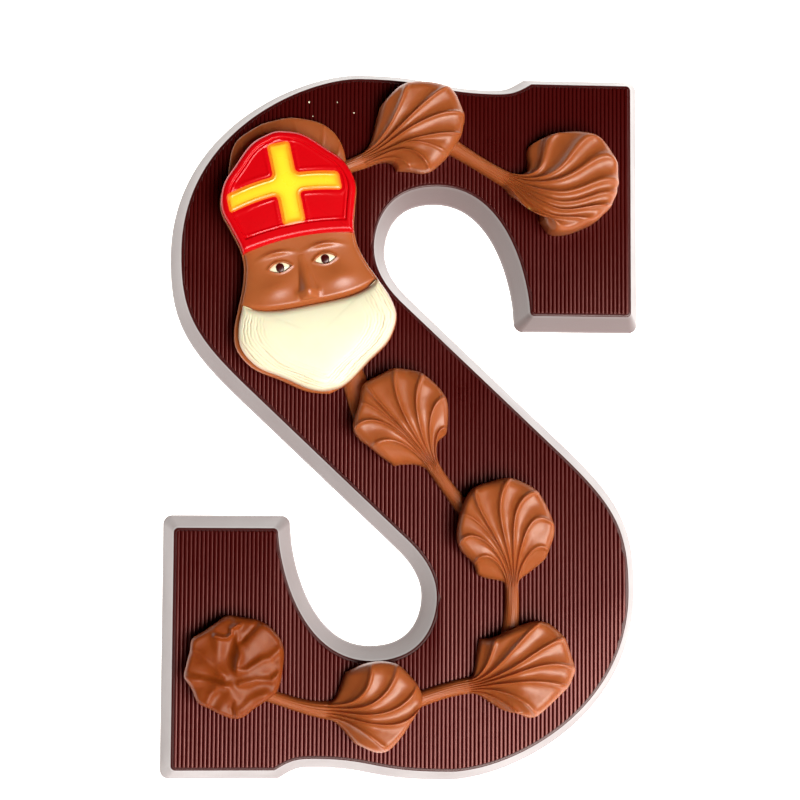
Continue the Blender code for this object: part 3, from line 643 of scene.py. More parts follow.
def shell_tree():
    tree = Tree("piped_shell", ("seed", *SHELLS["bed"][1]))
    across, along, number = tree.place()
    between = number.at_least(0.5).at_most(tree.size("last_crest") - 0.5)
    section = ridge_shape(between, along.at_least(0), tree.size("soft"))
    scallop, bead = (part * tree.stored("strength") for part in section)
    fan_x, fan_y, fan_z = fan_shape(tree, across, along.at_least(0), scallop, bead)
    strand_x, strand_y, strand_z = strand_shape(tree, across, (along + 1).within(), bead)
    x = tree.size("root_x") + along.if_negative(strand_x, fan_x)
    y = tree.size("root_y") + along.if_negative(strand_y, fan_y)
    tree.move_to(x, y, along.if_negative(strand_z, fan_z) + (DECOR_FLOOR - SINK))
    tree.finish(milk_chocolate)
    return tree


def shell_blank(name, crests):
    """The flat blank that the tree shapes: x is across the fan, y runs from the strand's end at -1 over the neck
    at 0 to the rim at 1, and z counts the crests. Each point carries where its column passes and ends."""
    numbers = np.arange(len(crests))
    step = (1 - np.cos(math.pi * np.arange(COLUMNS_PER_RIDGE) / COLUMNS_PER_RIDGE)) / 2
    near_edge = np.array(EDGE_COLUMNS)
    number = np.unique(np.concatenate([(numbers[:-1, None] + step).ravel(), near_edge, numbers[-1] - near_edge,
                                       numbers[-1:]]))
    across = 2 * number / numbers[-1] - 1
    fan = 1 - (1 - np.linspace(0, 1, FAN_ROWS)) ** 1.5
    along = np.concatenate([np.arange(-STRAND_ROWS, 0) / STRAND_ROWS, fan])
    u, v = np.meshgrid(across, along)
    points = np.stack([u, v, np.broadcast_to(number, u.shape)], axis=2).reshape(-1, 3)
    index = np.arange(u.size).reshape(u.shape)
    quads = np.stack([index[:-1, :-1], index[:-1, 1:], index[1:, 1:], index[1:, :-1]], axis=2).reshape(-1, 4)
    border = np.concatenate([index[:, -1], index[-1, -2:0:-1], index[::-1, 0]])
    mesh = bpy.data.meshes.new(name + "_blank")
    mesh.from_pydata(points.tolist(), [], quads.tolist() + [index[0, ::-1].tolist(), border[::-1].tolist()])
    read = {"strength": np.interp(number, numbers, [(*crest, 1.0)[2] for crest in crests])}
    for which, kind in enumerate(("passed_", "tip_")):
        for axis in (0, 1):
            places = np.array([crest[which][axis] for crest in crests])
            read[kind + "xy"[axis]] = smooth_through(numbers, places, number)
    for key, values in read.items():
        write_values(mesh, key, np.broadcast_to(values, u.shape))
    return mesh


piped_shell = shell_tree()
for seed, (name, (crests, sizes)) in enumerate(SHELLS.items()):
    piece_name = "piped_" + name
    shell = piped_shell.run(piece_name, shell_blank(name, crests), seed=seed, **sizes)
    add_piece(piece_name, shell, milk_chocolate, name)

# The rosette that ends the garland: one flat squeeze with the nozzle held upright, its folds drawn to a pinched
# middle, with a hollow above it and a torn nib where the nozzle was pulled off. Places are from its centre.
ROSETTE_CHOCOLATE = (0.165, 0.023, 0.001)
ROSETTE_CHOCOLATE_PALE = (0.285, 0.054, 0.006)
ROSETTE_CENTRE = (-47.0, -68.3)
ROSETTE_PINCH = (0.5, -1.0)
ROSETTE_EDGE = (
    (13.7, 0.0), (14.0, 3.5), (13.5, 7.0), (11.5, 10.0), (8.5, 12.5), (6.0, 13.5), (2.5, 14.0), (-2.0, 14.5),
    (-5.0, 12.5), (-8.5, 10.0), (-11.5, 8.0), (-12.0, 5.0), (-13.0, 1.0), (-13.5, -2.0), (-11.5, -5.5),
    (-9.5, -9.5), (-6.5, -11.0), (-3.5, -12.5), (0.5, -13.8), (2.5, -13.5), (6.0, -11.0), (9.0, -9.0),
    (12.0, -6.5), (13.2, -3.5),
)
ROSETTE_HEIGHT = 7.0
EDGE_POINTS = 240
ROSETTE_RINGS = 84
# Every fold's height, half width and course. A fold of negative height is a crease.
FOLDS = (
    (1.3, 0.8, ((2.0, -4.0), (4.5, -3.5), (6.5, -3.0), (10.5, -3.0), (13.0, -1.0), (14.0, 0.0))),
    (0.9, 1.3, ((3.0, -2.0), (6.0, -1.0), (8.0, 0.0), (10.5, 1.0), (14.0, 1.5))),
    (1.3, 0.8, ((1.5, -0.5), (4.0, 0.0), (5.5, 1.0), (8.0, 2.5), (10.0, 3.0), (13.0, 5.5))),
    (1.3, 2.6, ((3.0, 3.5), (4.5, 6.5), (6.5, 8.5), (9.5, 11.0))),
    (1.0, 0.7, ((1.0, 0.5), (2.0, 4.0), (1.0, 9.0), (0.5, 12.5))),
    (0.8, 1.0, ((-3.0, -1.0), (-4.0, 2.0), (-4.0, 5.0), (-4.5, 9.0), (-5.0, 12.0))),
    (0.8, 0.9, ((-2.0, -2.0), (-5.0, 0.5), (-8.0, 3.5), (-12.0, 5.5))),
    (1.2, 0.9, ((-2.5, -4.5), (-6.0, -3.5), (-8.5, -3.0), (-11.0, -3.0), (-13.5, -2.0))),
    (0.7, 1.4, ((-5.0, -5.0), (-8.0, -6.0), (-10.0, -9.0))),
    (0.9, 0.8, ((-1.0, -4.5), (-4.0, -5.0), (-6.0, -7.0), (-7.5, -10.5))),
    (0.7, 1.2, ((-1.0, -6.0), (-2.5, -9.0), (-4.0, -12.5))),
    (1.2, 1.0, ((9.0, -7.0), (7.0, -7.5), (5.0, -8.5), (3.0, -10.5), (1.5, -11.5), (1.0, -14.0))),
    (0.9, 1.4, ((1.5, 1.5), (0.5, -1.0), (-0.5, -5.0), (0.5, -8.0))),
    (1.9, 0.45, ((-5.0, 9.0), (-3.0, 8.5), (-1.5, 8.5), (-0.5, 9.5), (-0.5, 11.0), (1.5, 12.0))),
    (-0.9, 0.6, ((2.0, 7.5), (4.5, 10.0), (7.5, 13.5))),
    (-0.7, 0.5, ((0.0, -9.0), (-0.5, -10.5), (0.0, -12.0), (0.5, -14.0))),
    (-0.6, 0.8, ((-3.5, -2.5), (-7.0, -1.5), (-13.0, -0.5))),
)
FOLD_SPREAD = 1.35
FOLD_SHARE = 0.65
HOLLOW = (-1.0, 4.5)
HOLLOW_HALF = (1.7, 3.4)


def line_distance(line, points):
    """How far each point lies from a line through places."""
    nearest = np.full(len(points), np.inf)
    for start, end in zip(np.array(line)[:-1], np.array(line)[1:]):
        along = end - start
        t = np.clip((points - start) @ along / max(along @ along, 1e-12), 0, 1)
        nearest = np.minimum(nearest, np.linalg.norm(points - start - t[:, None] * along, axis=1))
    return nearest


def run_along(points):
    """How far along a line each of its points lies."""
    return np.concatenate([[0], np.cumsum(np.linalg.norm(np.diff(points, axis=0), axis=1))])


def rosette_height(place, part):
    """The rosette's height over the face at places that lie this part of the way from its pinch to its edge."""
    folds = sum(
        height * np.exp(-((line_distance(line, place) / (FOLD_SPREAD * width)) ** 2)) for height, width, line in FOLDS
    )
    hollow = np.exp(-(((place - HOLLOW) / HOLLOW_HALF) ** 2).sum(axis=1))
    lumps = 0.25 * np.sin(0.8 * place[:, 0] + 1) * np.sin(0.6 * place[:, 1])
    dome = ROSETTE_HEIGHT * (1 - 0.12 * part**2)
    turning = min(max((part - RIM_START) / (RIM_TURN - RIM_START), 0), 1)
    wall = 1 - max((part - RIM_TURN) / (1 - RIM_TURN), 0)
    rounding = RIM_ROUND * ROSETTE_HEIGHT * (1 - math.sqrt(1 - turning**2))
    return (dome + FOLD_SHARE * folds - hollow + lumps + SINK - rounding) * wall


def rosette_mesh():
    corners = np.array(ROSETTE_EDGE + ROSETTE_EDGE[:1])
    run = run_along(corners)
    at = np.linspace(0, run[-1], EDGE_POINTS, endpoint=False)
    edge = np.column_stack([smooth_through(run, corners[:, axis], at) for axis in (0, 1)])
    pinch = np.array(ROSETTE_PINCH)
    rings = []
    for part in 1 - np.linspace(0, 1, ROSETTE_RINGS, endpoint=False) ** 1.4:
        tucked = part - RIM_TUCK * (max(part - RIM_TURN, 0) / (1 - RIM_TURN)) ** 2
        place = pinch + (edge - pinch) * tucked
        rings.append(np.column_stack([place + ROSETTE_CENTRE, rosette_height(place, part) + DECOR_FLOOR - SINK]))
    rings.insert(0, at_height(rings[0][:, :2], DECOR_FLOOR - SINK - 0.05))
    return ring_mesh("rosette", rings, rings[-1].mean(axis=0)[None])


rosette_chocolate = chocolate("rosette_chocolate", ROSETTE_CHOCOLATE, ROSETTE_CHOCOLATE_PALE, 0.45, 7, 0.5, 0.02,
                              (1, 0.85, 0.7), shine=0.3, glow=0.3)
rosette = rosette_mesh()
rosette.shade_smooth()
add_piece("piped_rosette", rosette, rosette_chocolate, "rosette")

# The moulded head's backing: a thin plate of milk chocolate, cast last over the coloured parts, which shows as a
# narrow rim all round them. It is stuck on the bed, its frame running from the beard's tip to the mitre's.
FIGURE_TIP = (-20.4, 7.3)
FIGURE_LEAN = math.radians(12.2)
FIGURE_SHIFT = -1.0
FIGURE_HEIGHT = 74.5
BACKING = 2.2
BACKING_TOP = 16.35
BACKING_RIM = 0.8
BACKING_ROUND = 0.7
MOULD_CREASE = math.radians(60)
EVEN_FROM = 0.6
EVEN_OVER = 1.4
MOULDED_MILK = (0.37, 0.094, 0.022)
MOULDED_MILK_PALE = (0.42, 0.112, 0.030)
# Half of the outline of hat, head and beard together: half-width and height above the beard's tip
FIGURE_SIDE = (
    (0.0, 0.0), (5.0, 1.5), (12.5, 6.5), (20.0, 12.0), (22.8, 18.0), (22.2, 22.5), (19.8, 28.5), (17.3, 34.5),
    (16.0, 40.0), (16.1, 43.5), (17.6, 49.5), (19.2, 56.0), (17.2, 62.5), (13.0, 67.0), (7.0, 72.3), (0.0, 74.5),
)


def figure_half_width(y):
    places = np.array(FIGURE_SIDE)
    run = run_along(places)
    fine = np.linspace(0, run[-1], 800)
    return np.interp(y, smooth_through(run, places[:, 1], fine), smooth_through(run, places[:, 0], fine))


def figure_outline(low, high, inset, low_edge=None, high_edge=None, side_steps=70, edge_steps=60):
    """The figure's outline between two heights, counterclockwise. An end without an edge curve is a point."""
    y = low + (high - low) * (1 - np.cos(np.pi * np.arange(side_steps + 1) / side_steps)) / 2
    x = np.maximum(figure_half_width(y) - inset, 0)
    if not low_edge:
        x[0] = 0
    across = np.cos(np.pi * np.arange(1, edge_steps) / edge_steps)
    right = np.column_stack([x, y])
    pieces = [right]
    if high_edge:
        pieces.append(np.column_stack([x[-1] * across, high_edge(x[-1] * across)]))
    else:
        pieces = [right[:-1], np.array([[0.0, high]])]
        right = right[:-1]
    left = right[::-1] * (-1, 1)
    pieces.append(left if low_edge else left[:-1])
    if low_edge:
        pieces.append(np.column_stack([-x[0] * across, low_edge(-x[0] * across)]))
    return np.vstack(pieces)


def on_letter(points):
    """Moves points of the figure's frame, each with its height over the backing, to their place."""
    cos, sin = direction(math.degrees(FIGURE_LEAN))
    x, y, z = np.asarray(points).T
    x = x + FIGURE_SHIFT
    return np.column_stack([FIGURE_TIP[0] + x * cos - y * sin, FIGURE_TIP[1] + x * sin + y * cos, BACKING_TOP + z])


def closed(outline):
    return np.vstack([outline, outline[:1]])


def depth_inside(outline, points):
    """How deep each point lies inside an outline: the distance to its edge, evened out away from the edge so that
    no crease runs along the middle."""
    exact = line_distance(closed(outline), points)
    nearness = np.zeros(len(points))
    for start, end in zip(outline, np.roll(outline, -1, axis=0)):
        away = np.maximum(((points - (start + end) / 2) ** 2).sum(axis=1), 0.04)
        nearness += np.linalg.norm(end - start) / away**2
    even = np.cbrt(math.pi / 2 / nearness)
    share = eased(np.clip((exact - EVEN_FROM) / EVEN_OVER, 0, 1))
    return exact * (1 - share) + even * share


def rounded(distance, radius):
    """A quarter round: 0 at the edge, 1 from the radius inwards."""
    part = np.clip(distance / radius, 0, 1)
    return np.sqrt(1 - (1 - part) ** 2)


def moulded(name, outline, middle, foot, surface, rings=48, thin=None):
    """A piece cast in a mould: a wall from its foot, and a surface worked out from x, y and the depth inside the
    edge. Where its colour runs thin is worked out the same way, and stays on the mesh."""
    middle = np.array(middle, float)
    parts = 1 - np.linspace(0, 1, rings, endpoint=False) ** 1.5
    flat = np.vstack([middle + (outline - middle) * part for part in parts] + [middle[None]])
    depth = depth_inside(outline, flat)
    places = on_letter(np.column_stack([flat, surface(flat[:, 0], flat[:, 1], depth)]))
    rings = [on_letter(at_height(outline, foot)), *places[:-1].reshape(len(parts), len(outline), 3)]
    mesh = ring_mesh(name, rings, places[-1:])
    if thin:
        write_values(mesh, "thin", np.concatenate([np.ones(len(outline)), thin(flat[:, 0], flat[:, 1], depth)]))
    mesh.shade_smooth()
    mesh.set_sharp_from_angle(angle=MOULD_CREASE)
    return mesh


moulded_milk = chocolate("moulded_milk_chocolate", MOULDED_MILK, MOULDED_MILK_PALE, 0.32, 12, 0.6, 0.01, glow=0.25)


def backing_surface(x, y, depth):
    return -BACKING_ROUND + BACKING_ROUND * rounded(depth, BACKING_ROUND)


backing_outline = figure_outline(0.0, FIGURE_HEIGHT, 0.0)
backing = moulded("backing", backing_outline, (0.0, 36.0), -BACKING, backing_surface, rings=16)
add_piece("backing", backing, moulded_milk, "figure")

# The face, in milk chocolate: a plain and calm one on the proportions that drawing books give. The head is five
# eyes wide with one eye between the eyes, and brow to nose is a third of the face.
BAND_SIDE = 42.3
BAND_MIDDLE = 44.0
BEARD_SIDE = 29.0
BEARD_MIDDLE = 25.0
NOSE_BASE = BEARD_MIDDLE + 1.5
NOSE_TIP = 2.6
FACE_THIRD = 14.0
BROW_LINE = NOSE_BASE + FACE_THIRD
EYE_LINE = BROW_LINE - 0.28 * FACE_THIRD
EYES_ACROSS_HEAD = 5
EYE = float(2 * (figure_half_width(EYE_LINE) - BACKING_RIM) / EYES_ACROSS_HEAD)
LID_RISE = 0.26 * EYE
LID_DROP = 0.2 * EYE
IRIS_RADIUS = 0.2 * EYE
TUCK = 1.2
# Nostril, socket and cheek on each side: how many eyes from the middle, how far up, half its width and height, and
# how far it stands out.
FACE_BUMPS = (
    (0.42, NOSE_BASE + 1.9, 0.9, 1.2, 0.5),
    (1.0, EYE_LINE + 0.1, 0.6 * EYE, 2.3, -0.55),
    (1.45, NOSE_BASE + 4.4, 0.62 * EYE, 2.5, 0.75),
)
LIDS = (0.55, 0.38)
FACE_EDGE = 0.5
FACE_RISE = 2.3
SIDE_ROUND = 0.75
NOSE_TOP = EYE_LINE + 2.5
NOSE_HALF = (1.3, 1.5)
NOSE_RISE = (0.5, 1.85)
SEAM_WIDTH = 0.8
SEAM_LEVEL = 0.7


def band_edge(x):
    """The mitre's lower edge, bowed up in the middle."""
    return BAND_MIDDLE - (BAND_MIDDLE - BAND_SIDE) * (x / 16) ** 2


def beard_edge(x):
    """The beard's upper edge, raised at the sides."""
    return BEARD_MIDDLE + (BEARD_SIDE - BEARD_MIDDLE) * (x / 20) ** 4


def under_beard(x):
    return beard_edge(x) - TUCK


def under_band(x):
    return band_edge(x) + TUCK


def bump(x, y, at_x, at_y, half_x, half_y, height):
    return height * np.exp(-(((x - at_x) / half_x) ** 2) - ((y - at_y) / half_y) ** 2)


def lid_edges(part, grow=0.0):
    """How far the upper and the lower lid's edges lie from the eye line, from an eye's one corner to the other."""
    return (LID_RISE + grow) * (1 - part**2) ** 0.8, -(LID_DROP + grow) * (1 - part**2)


def eye_outline(side, grow=0.0):
    """The almond between the lids of one eye."""
    x = np.linspace(-1, 1, 25)
    upper, lower = lid_edges(x, grow)
    half = EYE / 2 + grow
    loop = np.vstack([np.column_stack([x * half, lower]), np.column_stack([x * half, upper])[::-1][1:-1]])
    return loop + (side * EYE, EYE_LINE)


def inside_eye(x, y, side):
    """1 between the lids of one eye, else 0."""
    part = np.clip((x - side * EYE) / (EYE / 2), -1, 1)
    upper, lower = lid_edges(part)
    return (y < EYE_LINE + upper) & (y > EYE_LINE + lower) & (np.abs(part) < 1)


def side_round(x, y):
    """How high the head stands between its sides."""
    from_side = np.clip(1 - np.abs(x) / (figure_half_width(y) - BACKING_RIM), 0, 1)
    return FACE_EDGE + FACE_RISE * rounded(from_side, SIDE_ROUND)


def face_surface(x, y, depth):
    z = side_round(x, y)
    down = np.clip((NOSE_TOP - y) / (NOSE_TOP - NOSE_BASE - NOSE_TIP), 0, 1)
    across = np.clip(np.abs(x) / (NOSE_HALF[0] + NOSE_HALF[1] * down**1.5), 0, 1)
    end = rounded(np.clip(y - NOSE_BASE, 0, None), NOSE_TIP)
    z = z + (NOSE_RISE[0] + NOSE_RISE[1] * down**1.3) * down**0.5 * (1 - across**2) ** 1.5 * end
    for side in (-1, 1):
        for out, up, half_x, half_y, height in FACE_BUMPS:
            z = z + bump(x, y, side * out * EYE, up, half_x, half_y, height)
        arch = BROW_LINE + 0.3 - 0.9 * ((x / EYE - side) / 0.9) ** 2
        z = z + bump(x, y, side * 1.05 * EYE, arch, 0.6 * EYE, 0.7, 0.75)
        away = line_distance(closed(eye_outline(side)), np.column_stack([x, y]))
        lid = np.where(y > EYE_LINE, *LIDS) * np.exp(-((away / 0.5) ** 2))
        z = z + np.where(inside_eye(x, y, side), -0.5 * np.clip(away / 0.25, 0, 1), lid)
    seam = np.exp(-((np.clip(y - beard_edge(x), 0, None) / SEAM_WIDTH) ** 2))
    return z - (z - SEAM_LEVEL) * seam


face_outline = figure_outline(BEARD_SIDE - TUCK, BAND_SIDE + TUCK, BACKING_RIM, under_beard, under_band, 60, 110)
face = moulded("face", face_outline, (0.0, 34.5), -BACKING / 2, face_surface, rings=90)
add_piece("face", face, moulded_milk)

# The eyes: two drops of white chocolate set between the lids, each with a drop of dark chocolate in the middle.
WHITE_CHOCOLATE = (0.82, 0.76, 0.50)
WHITE_CHOCOLATE_PALE = (0.87, 0.82, 0.58)
white_chocolate = chocolate("white_chocolate", WHITE_CHOCOLATE, WHITE_CHOCOLATE_PALE, 0.34, 8, 0.5, 0.01)


def drop_mesh(name, outline, centre, foot, bulge):
    """A low rounded drop on an outline."""
    centre = np.array(centre, float)
    rings = [at_height(outline, foot - 0.6)]
    for part in np.cos(np.linspace(0, np.pi / 2, 14, endpoint=False)):
        flat = centre + (outline - centre) * part
        rings.append(at_height(flat, foot + bulge * math.sqrt(1 - part**2)))
    mesh = ring_mesh(name, [on_letter(ring) for ring in rings], on_letter([[*centre, foot + bulge]]))
    mesh.shade_smooth()
    return mesh


for side, name in ((-1, "left"), (1, "right")):
    centre = np.array([side * EYE, EYE_LINE + 0.1])
    level = float(face_surface(centre[:1], centre[1:], np.array([8.0]))[0])
    white = drop_mesh("eye_" + name, eye_outline(side, 0.05), centre, level - 0.1, 0.75)
    add_piece("eye_" + name, white, white_chocolate)
    turn = np.linspace(0, 2 * np.pi, 40, endpoint=False)
    circle = centre + IRIS_RADIUS * np.column_stack([np.cos(turn), np.sin(turn)])
    dark = drop_mesh("iris_" + name, circle, centre, level + 0.45, 0.35)
    add_piece("iris_" + name, dark, dark_chocolate)

# The mitre: red chocolate poured into the mould's hat, with a raised border, a band along its lower edge and
# sunken panels round the cross.
RED_CHOCOLATE = (0.66, 0.0012, 0.0050)
RED_CHOCOLATE_DEEP = (0.54, 0.0006, 0.0025)
MITRE_RIM = 0.35
BORDER = 1.8
BAND = 3.1
MITRE_EDGE = 2.4
MITRE_HEIGHT = 4.0
LINE_IN = 0.9
LINE = (0.3, 0.16)
CROSS_LINE = (0.25, 0.2)
CROSS_SEAT = 1.2
CROSS_POST = 6.4
CROSS_TOP = 70.8
CROSS_FOOT = 47.6
CROSS_BAR = 5.4
CROSS_BAR_HEIGHT = 59.0
CROSS_BAR_SHIFT = -1.0
CROSS_SPAN = 31.8
CROSS_DROOP = 2.2
red_chocolate = chocolate("red_chocolate", RED_CHOCOLATE, RED_CHOCOLATE_DEEP, 0.22, 10, 0.7, 0.012, (1, 0.7, 0.7),
                          shine=0.42)


def softened(outline, reach, step=0.3):
    """An outline with its corners rounded, inner and outer ones alike."""
    run = run_along(closed(outline))
    at = np.linspace(0, run[-1], round(run[-1] / step), endpoint=False)
    even = np.column_stack([np.interp(at, run, closed(outline)[:, axis]) for axis in (0, 1)])
    shifts = range(-round(reach / step), round(reach / step) + 1)
    return sum(np.roll(even, shift, axis=0) for shift in shifts) / len(shifts)


def cross_outline():
    """The cross, counterclockwise: an upright, and a bar that droops to both sides."""
    post = CROSS_POST / 2
    corners = []
    for side in (1, -1):
        x = side * np.linspace(post, CROSS_SPAN / 2 + side * CROSS_BAR_SHIFT, 22)
        bar = CROSS_BAR_HEIGHT - CROSS_DROOP * (2 * x / CROSS_SPAN) ** 2
        lower = np.column_stack([x, bar - CROSS_BAR / 2])
        upper = np.column_stack([x, bar + CROSS_BAR / 2])
        if side > 0:
            corners += [lower, upper[::-1], [(post, CROSS_TOP), (-post, CROSS_TOP)]]
        else:
            corners += [upper, lower[::-1], [(-post, CROSS_FOOT), (post, CROSS_FOOT)]]
    return softened(np.vstack(corners), 1.2)


def inside(outline, points):
    """True for the points that lie inside a closed outline."""
    odd = np.zeros(len(points), bool)
    for (ax, ay), (bx, by) in zip(outline, np.roll(outline, -1, axis=0)):
        if ay != by:
            crossed = (ay > points[:, 1]) != (by > points[:, 1])
            odd ^= crossed & (points[:, 0] < ax + (points[:, 1] - ay) * (bx - ax) / (by - ay))
    return odd


def groove(away, half_width, depth):
    return depth * np.exp(-((away / half_width) ** 2))


def mitre_level(x, y, depth):
    """The mitre's surface, as if it had no cross."""
    points = np.column_stack([x, y])
    sides = figure_outline(BAND_SIDE, FIGURE_HEIGHT - MITRE_RIM, MITRE_RIM, low_edge=band_edge, edge_steps=2)[:-1]
    from_sides = line_distance(sides, points)
    above_band = y - band_edge(x) - BAND
    panel = eased(np.clip(np.minimum(from_sides - BORDER, above_band) / 0.5, 0, 1))
    z = MITRE_EDGE + (MITRE_HEIGHT - MITRE_EDGE) * rounded(depth, 1.5) - 0.5 * panel
    z = z + 0.45 * (1 - np.exp(-np.clip(depth - BORDER, 0, None) / 7)) * panel
    z = z + groove(from_sides - BORDER - LINE_IN, *LINE) * (above_band > LINE_IN)
    z = z + groove(above_band - LINE_IN, *LINE) * (from_sides > BORDER + LINE_IN)
    away = line_distance(closed(cross_outline()), points)
    return z + groove(away - LINE_IN, *CROSS_LINE) * (panel > 0.9)


def mitre_surface(x, y, depth):
    points = np.column_stack([x, y])
    outline = cross_outline()
    under_cross = inside(outline, points) * rounded(line_distance(closed(outline), points) - 0.5, 0.5)
    return mitre_level(x, y, depth) - CROSS_SEAT * under_cross


mitre_outline = figure_outline(BAND_SIDE, FIGURE_HEIGHT - MITRE_RIM, MITRE_RIM, low_edge=band_edge)
mitre = moulded("mitre", mitre_outline, (0.0, 58.0), 0.0, mitre_surface, rings=90)
add_piece("moulded_mitre", mitre, red_chocolate, "mitre")

# The cross: yellow chocolate dropped into the mould first, thin at its edges, where the red shows through.
YELLOW_CHOCOLATE = (0.98, 0.76, 0.022)
YELLOW_EDGE = (0.86, 0.13, 0.006)
yellow_chocolate = chocolate("yellow_chocolate", YELLOW_CHOCOLATE, YELLOW_CHOCOLATE, 0.26, 6, 0.7, 0.01)


def show_through(material, colour):
    """Blends a material to the colour behind it where its piece runs thin."""
    nodes, links = material.node_tree.nodes, material.node_tree.links
    shader = nodes["Principled BSDF"]
    whole = shader.inputs["Base Color"].links[0].from_socket
    thin = nodes.new("ShaderNodeAttribute")
    thin.attribute_name = "thin"
    mix = nodes.new("ShaderNodeMix")
    mix.data_type = "RGBA"
    links.new(thin.outputs["Fac"], mix.inputs["Factor"])
    links.new(whole, mix.inputs["A"])
    mix.inputs["B"].default_value = (*colour, 1)
    links.new(mix.outputs["Result"], shader.inputs["Base Color"])


show_through(yellow_chocolate, YELLOW_EDGE)


def cross_surface(x, y, depth):
    level = mitre_level(x, y, depth_inside(mitre_outline, np.column_stack([x, y])))
    return level + 0.03 + 0.14 * (1 - np.exp(-((depth / 1.8) ** 2)))


def cross_thin(x, y, depth):
    return np.exp(-((depth / 1.5) ** 1.5))


cross = moulded("cross", cross_outline(), (0.0, CROSS_BAR_HEIGHT), 1.6, cross_surface, rings=24, thin=cross_thin)
add_piece("cross", cross, yellow_chocolate, "mitre_cross")

# The beard: white chocolate, smooth in front and combed into fine strands round its sides, where it is thin and
# the brown behind it shows.
BEARD_HEIGHT = 4.7
BEARD_SHIFT = 0.5
HAIR_PITCH = 0.85
HAIR_DEPTH = 0.5
COMBED = 8.0
STREAK = (0.52, 0.30, 0.20)
beard_chocolate = chocolate("beard_chocolate", WHITE_CHOCOLATE, WHITE_CHOCOLATE_PALE, 0.36, 8, 0.5, 0.01, glow=0.2)
show_through(beard_chocolate, STREAK)


def combed_hair(x, y):
    """How deep the grooves between the strands lie, 0 to 1, and how far the beard is combed there."""
    shrink = np.clip(y / 26, 0, 1)
    from_side = figure_half_width(np.clip(y, 0, None)) - BACKING_RIM - np.abs(x - BEARD_SHIFT)
    from_side = from_side * (0.62 + 0.38 * shrink)
    wave = (from_side + 0.35 * np.sin(y * 0.42 + np.sign(x)) + 0.1 * np.sin(y * 1.9 + 2 * x)) / HAIR_PITCH
    between = (1 - np.abs(np.sin(np.pi * wave))) ** 1.5
    strand = np.round(wave)
    uneven = 0.6 + 0.4 * np.sin(strand * 2.4 + np.sign(x)) * np.cos(0.35 * y + strand)
    combed = np.clip(1 - from_side / COMBED, 0, 1) ** 0.6 * np.clip((beard_edge(x) - 0.5 - y) / 3, 0, 1)
    return between * uneven, combed


def beard_surface(x, y, depth):
    z = 1.0 + 1.5 * rounded(depth, 2.0) + (BEARD_HEIGHT - 2.5) * (1 - np.exp(-depth / 4.5))
    between, combed = combed_hair(x, y)
    return z - HAIR_DEPTH * between * combed * np.clip(depth / 0.8, 0, 1)


def beard_thin(x, y, depth):
    between, combed = combed_hair(x, y)
    low = depth < (beard_edge(x) - y) * 0.9
    return np.maximum(0.8 * np.exp(-((depth / 0.6) ** 2)) * low, between * combed)


beard_outline = figure_outline(BACKING_RIM, BEARD_SIDE, BACKING_RIM, high_edge=beard_edge, edge_steps=110)
beard_outline = softened(beard_outline + (BEARD_SHIFT, 0), 0.9, 0.45)
beard = moulded("beard", beard_outline, (0.0, 16.0), 0.0, beard_surface, rings=90, thin=beard_thin)
add_piece("moulded_beard", beard, beard_chocolate, "beard")

# Crumbs: a few pale specks that stick to the dark face above the head.
CRUMB_HEIGHT = 0.3
CRUMB_PEAK = 0.34
CRUMBS = ((-27.7, 89.8, 0.35), (-19.9, 90.0, 0.35), (-15.0, 87.0, 0.3), (-13.2, 88.8, 0.3), (-26.7, 85.8, 0.25))


def crumb_points(x, y, radius, draw):
    turn = np.linspace(0, 2 * np.pi, 9, endpoint=False)
    reach = radius * np.array([draw.uniform(0.6, 1.1) for _ in turn])
    return np.column_stack([x + reach * np.cos(turn), y + reach * np.sin(turn) * 0.8])


draw = random.Random(11)
for number, (x, y, radius) in enumerate(CRUMBS):
    outline = crumb_points(x, y, radius, draw)
    rings = [at_height(outline, SLAB_THICKNESS), at_height(outline, SLAB_THICKNESS + CRUMB_HEIGHT)]
    crumb = ring_mesh(f"crumb_{number}", rings, [[x, y, SLAB_THICKNESS + CRUMB_PEAK]])
    add_piece(f"crumb_{number}", crumb, white_chocolate)

# The studio: a white floor, soft light from the letter's lower right and from all round, and the camera almost
# straight above.
CAMERA_PLACE = (-34.6, -31.9, 526.0)
CAMERA_AIM = (-0.8, 6.7, 0.0)
CAMERA_TURN = math.radians(-0.3)
CAMERA_LENS = 83.25
FLOOR_HALF = 6.0
FLOOR_GREY = 0.85
FLOOR_LIGHT = (1, 0.98, 0.94, 1)
SKY_TOWARDS = (0.45, -1.4, 0)
SKY_RANGE = {"From Min": 0, "From Max": 0.8, "To Min": 0.03, "To Max": 1.3}
# Each light's place, where it points, its width, height and power
LIGHTS = {
    "right_light": ((0.48, -0.32, 0.88), (0, 0, 0), 0.8, 0.6, 13),
    "lower_light": ((0.3, -0.5, 1.15), (0, -0.05, 0), 0.9, 0.6, 11),
}

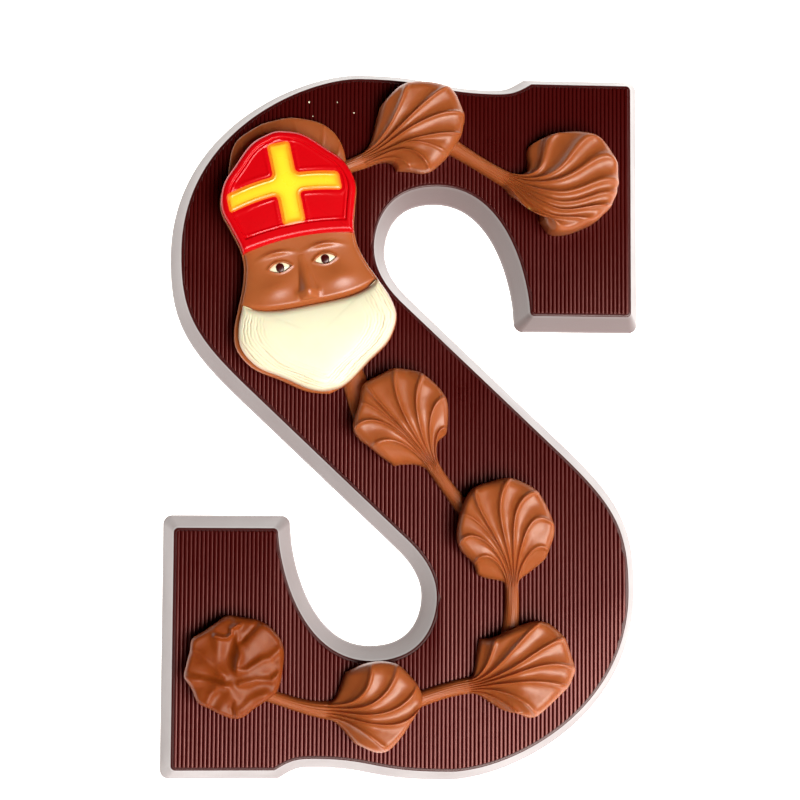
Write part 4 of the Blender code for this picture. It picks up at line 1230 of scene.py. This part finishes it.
floor_mesh = bpy.data.meshes.new("floor")
corners = [(x * FLOOR_HALF, y * FLOOR_HALF, 0) for x, y in ((-1, -1), (1, -1), (1, 1), (-1, 1))]
floor_mesh.from_pydata(corners, [], [(0, 1, 2, 3)])
white = bpy.data.materials.new("white_floor")
white.use_nodes = True
give(white.node_tree.nodes["Principled BSDF"], {
    "Base Color": (FLOOR_GREY, FLOOR_GREY, FLOOR_GREY, 1), "Roughness": 0.9, "Emission Color": FLOOR_LIGHT,
    "Emission Strength": 1.85,
})
floor_mesh.materials.append(white)
put("floor", floor_mesh)

for name, (place, aim, width, height, power) in LIGHTS.items():
    light = bpy.data.lights.new(name, "AREA")
    light.shape = "RECTANGLE"
    light.size = width
    light.size_y = height
    light.energy = power
    lamp = put(name, light)
    lamp.location = place
    lamp.rotation_mode = "QUATERNION"
    lamp.rotation_quaternion = (Vector(aim) - Vector(place)).to_track_quat("-Z", "Y")

world = bpy.data.worlds.new("studio")
bpy.context.scene.world = world
world.use_nodes = True
sky, links = world.node_tree.nodes, world.node_tree.links
towards = sky.new("ShaderNodeVectorMath")
towards.operation = "DOT_PRODUCT"
towards.inputs[1].default_value = SKY_TOWARDS
links.new(sky.new("ShaderNodeTexCoord").outputs["Generated"], towards.inputs[0])
glow = give(sky.new("ShaderNodeMapRange"), SKY_RANGE)
glow.interpolation_type = "SMOOTHSTEP"
links.new(towards.outputs["Value"], glow.inputs["Value"])
links.new(glow.outputs["Result"], sky["Background"].inputs["Strength"])

camera_data = bpy.data.cameras.new("camera")
camera_data.lens = CAMERA_LENS
camera_data.clip_start = 0.01
camera = put("camera", camera_data)
back = (Vector(CAMERA_PLACE) - Vector(CAMERA_AIM)).normalized()
north = Vector((math.sin(CAMERA_TURN), math.cos(CAMERA_TURN), 0))
up = (north - north.dot(back) * back).normalized()
turned = Matrix((up.cross(back), up, back)).transposed().to_4x4()
camera.matrix_world = Matrix.Translation(Vector(CAMERA_PLACE) * MM) @ turned
bpy.context.scene.camera = camera
bpy.context.scene.view_settings.view_transform = "Standard"
